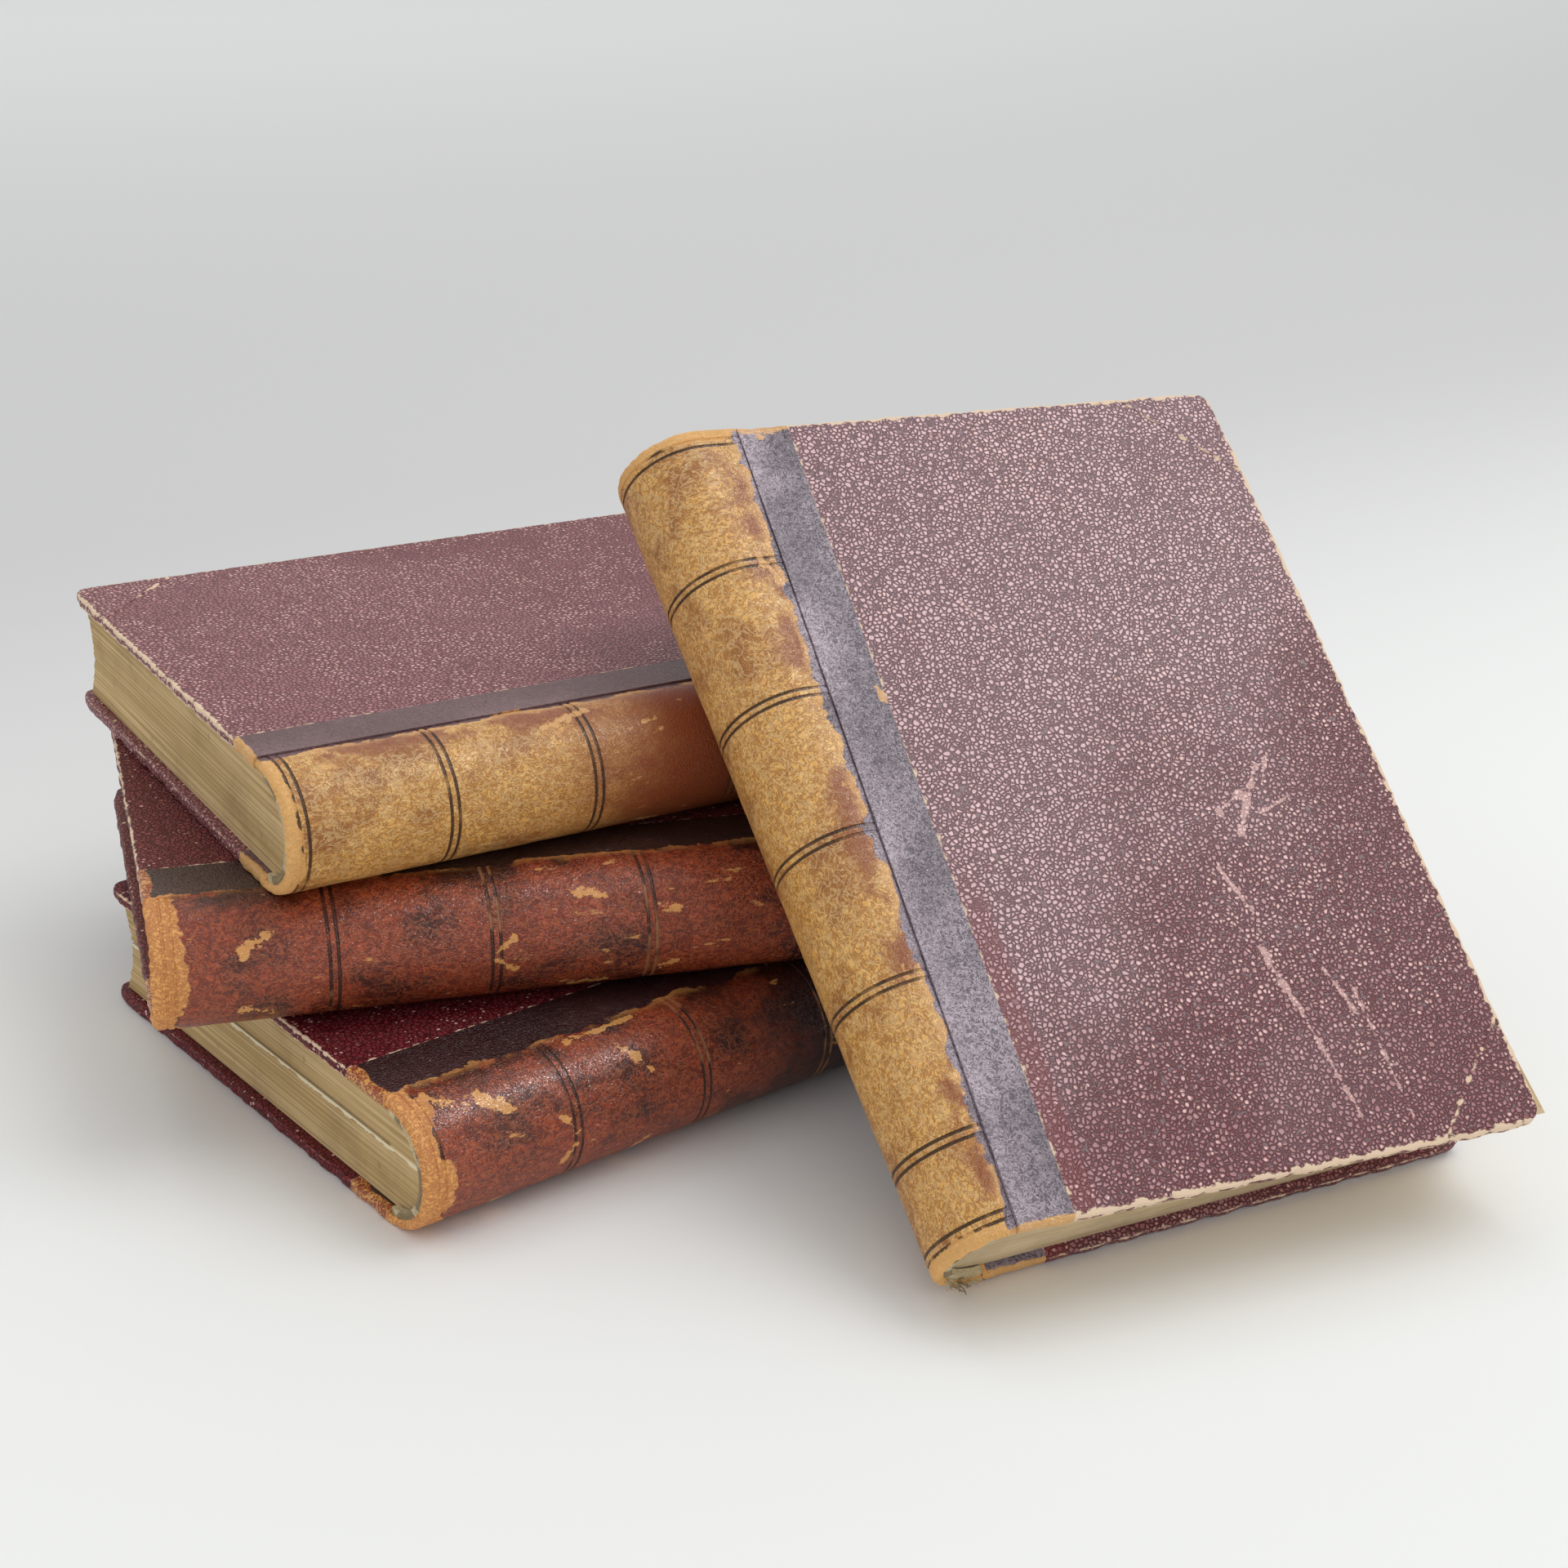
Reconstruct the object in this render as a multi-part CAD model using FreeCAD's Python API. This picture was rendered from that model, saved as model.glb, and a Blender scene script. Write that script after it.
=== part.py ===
import FreeCAD, Part
import os
from math import atan2, cos, degrees, hypot, pi, radians, sin, sqrt, tan

# Four half-leather volumes of one set. Three lie flat with their front covers up, each
# turned a little, and the fourth leans on them with its tail edge on the table.
#
# Each volume is built in its own frame, in millimetres:
#   x runs from the spine edge of the covers to the fore-edge,
#   y runs from the tail to the head,
#   z runs from the outside of the back cover to the outside of the front cover.
# The stack's frame has +X along the bottom volume from head to tail, +Y from its spine
# to its fore-edge and +Z up, with the origin under the middle of the whole group.

# Covers
cover_height = 205.0
cover_width = 136.5
cover_corner_radius = 4.0
board_thickness = 2.2
covering_thickness = 0.5
turn_in_thickness = 0.3
turn_in_width = 3.5

# Leather on the covers: the strip beside the spine and the corner pieces
strip_width = 20.8
corner_leg = 27.0

# Rounded spine
spine_centre_x = 4.6
spine_leather_thickness = 1.2
spine_cap_thickness = 2.4
lining_thickness = 0.6
band_thickness = 1.6
band_depth = 1.8
board_clearance = 0.6

# Tooled double rules across the spine, counted from the tail
rule_end_inset = 4.2
rule_first = 22.6
rule_spacing = 35.8
rule_count = 5
rule_gap = 1.9
rule_width = 0.7
rule_depth = 0.25

# Page block
page_square = 2.5
fore_edge_square = 3.5
fore_edge_hollow = 4.0
page_clearance = 0.1
page_start_x = 1.0
split_width = 0.9
split_length = 128.0
split_depth = 9.0
split_height_share = 0.56

# Volumes: thickness, and for those that lie flat where the spine edge meets the head,
# measured from the same point of the bottom volume, and their turn from it
bottom_thickness = 30.9
middle_thickness = 30.0
top_thickness = 30.5
leaning_thickness = 31.3
middle_offset_x = -25.8
middle_offset_y = 59.3
middle_angle = -22.3
top_offset_x = -0.9
top_offset_y = 47.9
top_angle = -7.8

# Leaning volume: where the spine end of its back cover stands, and its turn
leaning_foot_x = 81.8
leaning_foot_y = -87.0
leaning_turn_angle = -12.7
leaning_clearance = 0.15

# Its front cover hangs low at the fore-edge, and the pages hold it a little open
cover_droop_angle = 3.8
cover_ajar_angle = 3.6

# The two front covers that can open turn on the leather, a little way in from the spine
hinge_x = 8.2
hinge_clearance = 0.3

shoulder_x = spine_centre_x
board_start_x = shoulder_x + board_clearance
cover_thickness = covering_thickness + board_thickness + turn_in_thickness
Vector = FreeCAD.Vector
X_AXIS = Vector(1, 0, 0)
Z_AXIS = Vector(0, 0, 1)
OVERSIZE = 2 * cover_height


def box(x0, x1, y0, y1, z0, z1):
    """A box between two corners."""
    return Part.makeBox(x1 - x0, y1 - y0, z1 - z0, Vector(x0, y0, z0))


def plate(x0, x1, y0, y1, z0, z1, radius):
    """A flat plate whose two corners at the fore-edge, x1, are rounded."""
    nip = radius * (1 - sqrt(0.5))
    head_arc = Part.Arc(
        Vector(x1, y1 - radius, z0),
        Vector(x1 - nip, y1 - nip, z0),
        Vector(x1 - radius, y1, z0),
    )
    tail_arc = Part.Arc(
        Vector(x1 - radius, y0, z0),
        Vector(x1 - nip, y0 + nip, z0),
        Vector(x1, y0 + radius, z0),
    )
    edges = [
        Part.LineSegment(Vector(x0, y1, z0), Vector(x0, y0, z0)).toShape(),
        Part.LineSegment(Vector(x0, y0, z0), Vector(x1 - radius, y0, z0)).toShape(),
        tail_arc.toShape(),
        Part.LineSegment(Vector(x1, y0 + radius, z0), Vector(x1, y1 - radius, z0)).toShape(),
        head_arc.toShape(),
        Part.LineSegment(Vector(x1 - radius, y1, z0), Vector(x0, y1, z0)).toShape(),
    ]
    return Part.Face(Part.Wire(edges)).extrude(Vector(0, 0, z1 - z0))


def triangle(corner_x, corner_y, leg_x, leg_y, height):
    """An upright prism on a right-angled triangle, from z = 0 up to the height."""
    points = [
        Vector(corner_x, corner_y),
        Vector(corner_x + leg_x, corner_y),
        Vector(corner_x, corner_y + leg_y),
    ]
    return Part.Face(Part.makePolygon(points + points[:1])).extrude(Vector(0, 0, height))


def round_back(thickness, inset, x_end, y0, y1):
    """The space inside the spine's round: half a cylinder, flat on from its middle to x_end."""
    radius = thickness / 2 - inset
    top = thickness - inset
    far_x = spine_centre_x + cover_width
    arc = Part.Arc(
        Vector(spine_centre_x, y0, inset),
        Vector(spine_centre_x - radius, y0, thickness / 2),
        Vector(spine_centre_x, y0, top),
    )
    edges = [
        arc.toShape(),
        Part.LineSegment(Vector(spine_centre_x, y0, top), Vector(far_x, y0, top)).toShape(),
        Part.LineSegment(Vector(far_x, y0, top), Vector(far_x, y0, inset)).toShape(),
        Part.LineSegment(Vector(far_x, y0, inset), Vector(spine_centre_x, y0, inset)).toShape(),
    ]
    whole = Part.Face(Part.Wire(edges)).extrude(Vector(0, y1 - y0, 0))
    return whole.common(box(-OVERSIZE, x_end, -OVERSIZE, OVERSIZE, -OVERSIZE, OVERSIZE))


def cover_pieces(start_x):
    """The pieces of a back cover whose board starts at start_x."""
    outline = (start_x, cover_width, 0, cover_height)
    envelope = plate(*outline, 0, cover_thickness, cover_corner_radius)
    board = plate(
        start_x,
        cover_width - covering_thickness,
        covering_thickness,
        cover_height - covering_thickness,
        covering_thickness,
        covering_thickness + board_thickness,
        cover_corner_radius - covering_thickness,
    )
    pastedown = box(
        start_x,
        cover_width - turn_in_width,
        turn_in_width,
        cover_height - turn_in_width,
        cover_thickness - turn_in_thickness,
        cover_thickness,
    )
    covering = envelope.cut(board).cut(pastedown)
    strip_side = box(-OVERSIZE, strip_width, -OVERSIZE, OVERSIZE, -OVERSIZE, OVERSIZE)
    tail_corner = triangle(cover_width, 0, -corner_leg, corner_leg, cover_thickness)
    head_corner = triangle(cover_width, cover_height, -corner_leg, -corner_leg, cover_thickness)
    leather = covering.common(strip_side)
    corners = [covering.common(tail_corner), covering.common(head_corner)]
    cloth = covering.cut(strip_side).cut(tail_corner).cut(head_corner)
    return {
        "board": board,
        "pastedown": pastedown,
        "leather": leather,
        "corners": Part.makeCompound(corners),
        "cloth": cloth,
    }


def to_front(shape, thickness):
    """A back cover's piece mirrored to the front cover."""
    return shape.mirror(Vector(0, 0, thickness / 2), Z_AXIS)


def rule_positions():
    """The lower edge of each tooled line, as a distance from the tail."""
    middles = [rule_end_inset, cover_height - rule_end_inset]
    middles += [rule_first + rule_spacing * number for number in range(rule_count)]
    lower = [middle - (rule_gap + rule_width) / 2 for middle in middles]
    return sorted(lower + [place + rule_gap for place in lower])


def spine_shell(thickness):
    """The leather over the back, turned in at both ends and tooled with double rules."""
    shell = round_back(thickness, 0, board_start_x, 0, cover_height)
    inner_limits = (board_start_x, page_square, cover_height - page_square)
    hollow = round_back(thickness, spine_leather_thickness, *inner_limits)
    mouth = round_back(thickness, spine_cap_thickness, board_start_x, 0, cover_height)
    below_tooling = round_back(thickness, rule_depth, board_start_x, 0, cover_height)
    bands = []
    for place in rule_positions():
        bands.append(box(-OVERSIZE, board_start_x, place, place + rule_width, -OVERSIZE, OVERSIZE))
    tooling = Part.makeCompound(bands).cut(below_tooling)
    return shell.cut(hollow).cut(mouth).cut(tooling)


def page_block(thickness, room, slope_start, slope):
    """The pages, rounded at the back, away from the room, and hollow at the fore-edge.

    From slope_start on, their front side rises by the slope, an angle in degrees.
    """
    low = cover_thickness + page_clearance
    high = thickness - low
    end_x = cover_width - fore_edge_square
    rise = (end_x - slope_start) * tan(radians(slope))
    y0 = page_square
    y1 = cover_height - page_square
    fore_edge = Part.Arc(
        Vector(end_x, y0, low),
        Vector(end_x - fore_edge_hollow, y0, (low + high + rise) / 2),
        Vector(end_x, y0, high + rise),
    )
    edges = [
        Part.LineSegment(Vector(page_start_x, y0, high), Vector(page_start_x, y0, low)).toShape(),
        Part.LineSegment(Vector(page_start_x, y0, low), Vector(end_x, y0, low)).toShape(),
        fore_edge.toShape(),
        Part.LineSegment(Vector(end_x, y0, high + rise), Vector(slope_start, y0, high)).toShape(),
        Part.LineSegment(Vector(slope_start, y0, high), Vector(page_start_x, y0, high)).toShape(),
    ]
    flat = Part.Face(Part.Wire(edges)).extrude(Vector(0, y1 - y0, 0))
    inset = spine_leather_thickness + lining_thickness
    back = round_back(thickness, inset, shoulder_x, y0, y1).cut(room)
    return flat.fuse(back).removeSplitter()


def shell_of_back(thickness, inset, depth, y0, y1):
    """A layer that follows the round of the spine, from the inset to a depth below it."""
    outer = round_back(thickness, inset, shoulder_x, y0, y1)
    return outer.cut(round_back(thickness, inset + depth, shoulder_x, y0, y1))


def inner_pieces(thickness, room, slope_start, slope):
    """What the covers and the spine leather hold, clear of the room for a cover."""
    tail = page_square
    head = cover_height - page_square
    lining = shell_of_back(thickness, spine_leather_thickness, lining_thickness, tail, head)
    tail_band = shell_of_back(thickness, spine_cap_thickness, band_depth, tail - band_thickness, tail)
    head_band = shell_of_back(thickness, spine_cap_thickness, band_depth, head, head + band_thickness)
    return {
        "text_block": page_block(thickness, room, slope_start, slope),
        "spine_lining": lining.cut(room),
        "tail_band": tail_band.cut(room),
        "head_band": head_band.cut(room),
    }


def closed_volume(thickness):
    """A volume held closed, with one piece of leather over its back and both covers."""
    back = cover_pieces(board_start_x)
    front = {name: to_front(shape, thickness) for name, shape in back.items()}
    leather = spine_shell(thickness).fuse([back["leather"], front["leather"]])
    no_room = box(-OVERSIZE, OVERSIZE, -OVERSIZE, OVERSIZE, thickness, OVERSIZE)
    pieces = inner_pieces(thickness, no_room, shoulder_x, 0)
    pieces["spine_leather"] = leather.removeSplitter()
    for side, cover in (("back", back), ("front", front)):
        for name in ("board", "pastedown", "cloth", "corners"):
            pieces[side + "_" + name] = cover[name]
    return pieces


def with_split_pages(pieces, thickness):
    """The same pieces with the split that runs along the pages at the head."""
    height = thickness * split_height_share
    points = [
        Vector(cover_width, cover_height, height + split_width / 2),
        Vector(cover_width, cover_height, height - split_width / 2),
        Vector(cover_width, cover_height - page_square - split_depth, height),
    ]
    wedge = Part.Face(Part.makePolygon(points + points[:1])).extrude(Vector(-split_length, 0, 0))
    return pieces | {"text_block": pieces["text_block"].cut(wedge)}


def lowered(shape, hang):
    """Turn a front cover in its own plane about the middle of its spine edge."""
    turned = shape.copy()
    turned.rotate(Vector(0, cover_height / 2, 0), Z_AXIS, -hang)
    return turned


def hinge_line(thickness, hang):
    """A point on the hinge of a front cover lowered by an angle, and its direction."""
    angle = radians(-hang)
    arm = Vector(hinge_x * cos(angle), hinge_x * sin(angle), 0)
    point = Vector(0, cover_height / 2, thickness) + arm
    return point, Vector(-sin(angle), cos(angle), 0)


def opening_volume(thickness, hang, ajar):
    """A volume whose front cover turns: its leather is parted along the hinge."""
    back = cover_pieces(board_start_x)
    front = cover_pieces(hinge_x)
    low = thickness - cover_thickness - page_clearance
    above = box(hinge_x - hinge_clearance, OVERSIZE, -OVERSIZE, OVERSIZE, low, OVERSIZE)
    room = lowered(above, hang)
    lip_floor = thickness - spine_leather_thickness
    lip = box(board_start_x, strip_width, 0, cover_height, lip_floor, thickness)
    shell = spine_shell(thickness).fuse([back["leather"], lip])
    pages_rise_x = hinge_x + cover_height / 2 * tan(radians(hang))
    pieces = inner_pieces(thickness, room, pages_rise_x, ajar)
    pieces["spine_leather"] = shell.removeSplitter().cut(room)
    for name in ("board", "pastedown", "cloth", "corners"):
        pieces["back_" + name] = back[name]
    point, direction = hinge_line(thickness, hang)
    for name, shape in front.items():
        turned = lowered(to_front(shape, thickness), hang)
        turned.rotate(point, direction, -ajar)
        pieces["front_" + name] = turned
    return pieces


def flat_placement(offset_x, offset_y, height, turn):
    """Place a flat volume by the point where its spine edge meets its head."""
    placement = FreeCAD.Placement(Vector(offset_x, offset_y, height), FreeCAD.Rotation(Z_AXIS, turn))
    lying = FreeCAD.Placement(Vector(cover_height, 0, 0), FreeCAD.Rotation(Z_AXIS, 90))
    return placement.multiply(lying)


def spine_outline(thickness):
    """Points round the outside of a spine at its tail, in the volume's frame."""
    steps = 36
    radius = thickness / 2
    points = []
    for step in range(steps + 1):
        angle = pi * step / steps
        points.append(Vector(spine_centre_x - radius * sin(angle), 0, radius - radius * cos(angle)))
    return points + [Vector(cover_width, 0, thickness)]


def leaning_angle(flat):
    """The slope at which the leaning volume's back cover just clears the flat volumes.

    Of each line along a spine, only the stretch behind the back cover counts.
    """
    turn = radians(leaning_turn_angle)
    along = Vector(cos(turn), sin(turn), 0)
    behind = Vector(-sin(turn), cos(turn), 0)
    foot = Vector(leaning_foot_x, leaning_foot_y, 0)
    slopes = []
    for placement, thickness in flat:
        for point in spine_outline(thickness):
            tail = placement.multVec(point) - foot
            head = placement.multVec(point + Vector(0, cover_height, 0)) - foot
            reach = (tail - head).dot(along)
            for limit in (0, cover_width):
                share = (tail.dot(along) - limit) / reach
                touched = tail + (head - tail) * min(max(share, 0), 1)
                run = touched.dot(behind)
                slope = atan2(touched.z, run)
                slopes.append(slope + leaning_clearance / hypot(touched.z, run))
    return degrees(max(slopes))


def leaning_placement(slope):
    """Stand the leaning volume on its tail edge and tip it back to the slope."""
    upright = FreeCAD.Rotation(X_AXIS, slope)
    turned = FreeCAD.Rotation(Z_AXIS, leaning_turn_angle)
    return FreeCAD.Placement(Vector(leaning_foot_x, leaning_foot_y, 0), turned.multiply(upright))


def build():
    """All pieces by node name, and each hinge's point and direction, in the stack's frame."""
    middle_height = bottom_thickness
    top_height = middle_height + middle_thickness
    bottom = flat_placement(0, 0, 0, 0)
    middle = flat_placement(middle_offset_x, middle_offset_y, middle_height, middle_angle)
    top = flat_placement(top_offset_x, top_offset_y, top_height, top_angle)
    flat = [(bottom, bottom_thickness), (middle, middle_thickness), (top, top_thickness)]
    leaning = leaning_placement(leaning_angle(flat))
    volumes = {
        "bottom": (bottom, with_split_pages(closed_volume(bottom_thickness), bottom_thickness)),
        "middle": (middle, closed_volume(middle_thickness)),
        "top": (top, opening_volume(top_thickness, 0, 0)),
        "leaning": (leaning, opening_volume(leaning_thickness, cover_droop_angle, cover_ajar_angle)),
    }
    nodes = {}
    for name, (placement, pieces) in volumes.items():
        for piece, shape in pieces.items():
            placed = shape.copy()
            placed.Placement = placement.multiply(shape.Placement)
            nodes[name + "_" + piece] = placed
    hinges = {}
    for name, placement, (point, direction) in (
        ("top", top, hinge_line(top_thickness, 0)),
        ("leaning", leaning, hinge_line(leaning_thickness, cover_droop_angle)),
    ):
        hinges[name] = (placement.multVec(point), placement.Rotation.multVec(direction))
    return nodes, hinges


nodes, hinges = build()
bounds = Part.makeCompound(list(nodes.values())).BoundBox
to_origin = Vector(-bounds.Center.x, -bounds.Center.y, -bounds.ZMin)
os.makedirs("parts", exist_ok=True)
for node, shape in sorted(nodes.items()):
    shape.translate(to_origin)
    shape.exportStep("parts/" + node + ".step")
    print(node, len(shape.Solids), round(shape.Volume, 1), shape.isValid())
for name, (point, direction) in hinges.items():
    print(name, "cover turns at", point + to_origin, "along", direction)
print("middle of the base at", Vector(cover_height / 2, cover_width / 2, 0) + to_origin)
print("overall size", bounds.XLength, bounds.YLength, bounds.ZLength)
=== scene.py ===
# %% [markdown]
# Four old half-leather books, three in a twisted stack and one leaning on them.
# The frame holds every piece at its real size, so this lesson only dresses it: each
# cover, spine and page block is made again with the roundings, tooling and wear that a
# plain solid lacks, in the same place, and gets a finish of its own.

# %% Load the frame
from math import acos, cos, pi, radians, sin, sqrt, tan

import bmesh
import bpy
import numpy as np
from mathutils import Matrix, Vector, noise


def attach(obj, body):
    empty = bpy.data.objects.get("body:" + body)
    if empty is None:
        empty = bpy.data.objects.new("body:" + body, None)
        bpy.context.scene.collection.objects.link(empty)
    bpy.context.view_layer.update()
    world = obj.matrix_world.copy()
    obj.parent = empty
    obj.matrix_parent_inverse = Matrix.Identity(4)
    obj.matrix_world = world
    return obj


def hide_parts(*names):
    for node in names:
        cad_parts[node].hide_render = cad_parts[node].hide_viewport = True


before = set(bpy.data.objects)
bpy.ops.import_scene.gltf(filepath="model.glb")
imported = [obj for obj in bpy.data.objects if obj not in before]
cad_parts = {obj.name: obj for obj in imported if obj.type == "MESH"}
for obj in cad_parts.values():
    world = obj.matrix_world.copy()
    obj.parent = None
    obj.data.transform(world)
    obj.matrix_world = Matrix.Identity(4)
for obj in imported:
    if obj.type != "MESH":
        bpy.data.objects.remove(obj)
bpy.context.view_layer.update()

# %% [markdown]
# A book is measured from three faces: x runs from its spine to its fore-edge, y from its
# tail to its head and z from its back cover to its front cover. The covers, the leather
# and the pages all take their places from the same few sizes.

# %% The sizes of a volume
MM = 0.001
cover_height = 205.0 * MM
cover_width = 136.5 * MM
cover_corner_radius = 4.0 * MM
cover_thickness = 3.0 * MM
turn_in_width = 3.5 * MM
turn_in_thickness = 0.3 * MM
strip_width = 20.8 * MM
corner_leg = 27.0 * MM
spine_centre_x = 4.6 * MM
board_start_x = 5.2 * MM
leather_thickness = 1.2 * MM
cap_thickness = 2.4 * MM
hinge_x = 8.2 * MM
page_square = 2.5 * MM
thickness_of = {"bottom": 30.9 * MM, "middle": 30.0 * MM, "top": 30.5 * MM, "leaning": 31.3 * MM}
opening_volumes = ("top", "leaning")
volumes = tuple(thickness_of)

# %% [markdown]
# Each volume is turned and tipped its own way. A pastedown is a plain sheet, so its
# three edges give the directions of its cover, and its middle gives the place. That
# reads the turn from the frame and needs no angle here.


# %% Find each cover's own axes
def points_of(node):
    return np.array([v.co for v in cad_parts[node].data.vertices], float)


def sheet_edges(node):
    """The middle and long edge of a thin rectangular sheet, and its centre."""
    corners = np.unique(np.round(points_of(node), 6), axis=0)
    steps = corners - corners[0]
    order = np.argsort(np.linalg.norm(steps, axis=1))
    return steps[order[2]], steps[order[4]], corners.mean(0)


def cover_matrix(volume, side):
    """From a cover's own measures to the stack's frame."""
    middle, long, centre = sheet_edges(f"{volume}_{side}_pastedown")
    to_fore_edge = points_of(f"{volume}_text_block").mean(0) - points_of(f"{volume}_spine_lining").mean(0)
    to_front = points_of(f"{volume}_front_pastedown").mean(0) - points_of(f"{volume}_back_pastedown").mean(0)
    x_axis = middle / np.linalg.norm(middle) * np.sign(middle @ to_fore_edge)
    z_axis = np.cross(x_axis, long / np.linalg.norm(long))
    z_axis *= np.sign(z_axis @ to_front)
    y_axis = np.cross(z_axis, x_axis)
    start = hinge_x if side == "front" and volume in opening_volumes else board_start_x
    depth = cover_thickness - turn_in_thickness / 2
    own_centre = np.array([
        (start + cover_width - turn_in_width) / 2,
        cover_height / 2,
        depth if side == "back" else thickness_of[volume] - depth,
    ])
    turn = np.stack([x_axis, y_axis, z_axis], 1)
    matrix = Matrix(turn.tolist()).to_4x4()
    matrix.translation = Vector(centre - turn @ own_centre)
    return matrix


matrices = {(v, s): cover_matrix(v, s) for v in volumes for s in ("back", "front")}
for volume in volumes:
    print(volume, "stands at", [round(c / MM, 1) for c in matrices[volume, "back"].translation], "mm")

# %% [markdown]
# A finish that follows a book has to know where on the book it is. Every mesh made here
# carries an attribute called place: x from the spine edge, y from the tail and z through
# the thickness. Round the spine x runs on below zero along the leather, as if it were
# unrolled, so grain and wear don't stretch there.


# %% A piece is corners, faces and the place of each corner
def clamped(share):
    return min(max(share, 0), 1)


class Shape:
    """Corners, faces and places in a volume's own measures, to be joined and placed."""

    def __init__(self, corners=(), faces=(), places=None):
        self.corners = np.array(corners, float).reshape(-1, 3)
        self.faces = [tuple(face) for face in faces]
        self.places = self.corners.copy() if places is None else np.array(places, float)

    def join(self, other):
        shift = len(self.corners)
        self.corners = np.vstack([self.corners, other.corners])
        self.places = np.vstack([self.places, other.places])
        self.faces += [tuple(i + shift for i in face) for face in other.faces]
        return self


def body_of(volume, side="back"):
    return f"{volume}_cover" if side == "front" and volume in opening_volumes else "stack"


def add_piece(name, shape, matrix, material, body, nodes):
    """A finished object from a shape, in place of the nodes it stands for."""
    mesh = bpy.data.meshes.new(name)
    mesh.from_pydata(shape.corners.tolist(), [], shape.faces)
    mesh.attributes.new("place", "FLOAT_VECTOR", "POINT").data.foreach_set("vector", shape.places.ravel())
    mesh.transform(matrix)
    repair = bmesh.new()
    repair.from_mesh(mesh)
    bmesh.ops.recalc_face_normals(repair, faces=repair.faces)
    repair.to_mesh(mesh)
    repair.free()
    mesh.shade_smooth()
    mesh.set_sharp_from_angle(angle=radians(35))
    mesh.materials.append(material)
    piece = bpy.data.objects.new(name, mesh)
    bpy.context.scene.collection.objects.link(piece)
    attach(piece, body)
    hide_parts(*nodes)
    return piece


# %% [markdown]
# Shader trees get long, so a short helper writes them: each call adds one node, joins
# its inputs and returns its output. What more than one finish needs, such as grain or
# the distance from an edge, becomes a node group with named inputs and outputs.


# %% A helper that writes node trees
class Web:
    def __init__(self, tree):
        self.tree = tree

    def put(self, socket, value):
        if isinstance(value, bpy.types.NodeSocket):
            self.tree.links.new(value, socket)
        elif value is not None:
            socket.default_value = value

    def add(self, kind, values=(), named=None, output=0, **settings):
        node = self.tree.nodes.new(kind)
        for key, value in settings.items():
            setattr(node, key, value)
        for index, value in enumerate(values):
            self.put(node.inputs[index], value)
        for key, value in (named or {}).items():
            self.put(node.inputs[key], value)
        return node.outputs[output]

    def math(self, operation, *values):
        return self.add("ShaderNodeMath", values, operation=operation)

    def times(self, first, second):
        return self.math("MULTIPLY", first, second)

    def minus(self, first, second):
        return self.math("SUBTRACT", first, second)

    def plus(self, first, second):
        return self.math("ADD", first, second)

    def vector(self, operation, *values, output=0):
        return self.add("ShaderNodeVectorMath", values, operation=operation, output=output)

    def fade(self, value, start, end, low=0.0, high=1.0):
        """A smooth change from low to high as the value goes from start to end."""
        values = (value, start, end, low, high)
        return self.add("ShaderNodeMapRange", values, interpolation_type="SMOOTHSTEP")

    def mix(self, factor, first, second):
        named = {"Factor": factor, 6: first, 7: second}
        return self.add("ShaderNodeMix", named=named, data_type="RGBA", output=2)

    def noise(self, vector, size, detail=3.0, roughness=0.5, distortion=0.0, output=0):
        named = {
            "Vector": vector,
            "Scale": 1 / size,
            "Detail": detail,
            "Roughness": roughness,
            "Distortion": distortion,
        }
        return self.add("ShaderNodeTexNoise", named=named, output=output)

    def stretch(self, vector, sizes, shift=(0, 0, 0), turn=(0, 0, 0)):
        """The vector turned and divided by a size along each axis."""
        scale = tuple(1 / size for size in sizes)
        named = {"Vector": vector, "Location": shift, "Rotation": turn, "Scale": scale}
        return self.add("ShaderNodeMapping", named=named)

    def split(self, vector):
        node = self.add("ShaderNodeSeparateXYZ", (vector,)).node
        return node.outputs[0], node.outputs[1], node.outputs[2]

    def group(self, name, **inputs):
        """An effect from a node group; returns its node, whose outputs have names."""
        node = self.tree.nodes.new("ShaderNodeGroup")
        node.node_tree = bpy.data.node_groups[name]
        for key, value in inputs.items():
            self.put(node.inputs[key.replace("_", " ")], value)
        return node.outputs


def new_group(name, inputs, outputs):
    """An empty node group with named sockets; returns its web and its two end nodes."""
    tree = bpy.data.node_groups.new(name, "ShaderNodeTree")
    for side, sockets in (("INPUT", inputs), ("OUTPUT", outputs)):
        for label, kind in sockets.items():
            tree.interface.new_socket(label, in_out=side, socket_type="NodeSocket" + kind)
    start = tree.nodes.new("NodeGroupInput")
    end = tree.nodes.new("NodeGroupOutput")
    return Web(tree), start.outputs, end.inputs


def tint(red, green, blue):
    """A colour as seen on a screen, 0 to 255, as the linear value a shader needs."""
    linear = []
    for channel in (red, green, blue):
        share = channel / 255
        linear.append(share / 12.92 if share <= 0.04045 else ((share + 0.055) / 1.055) ** 2.4)
    return (*linear, 1.0)


# %% [markdown]
# The first group measures a cover: how far a point is from its worn arrises, from the
# line where the leather strip meets the cloth, and from the slanting line of a corner
# piece. Wear follows those lines on every book.

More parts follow.
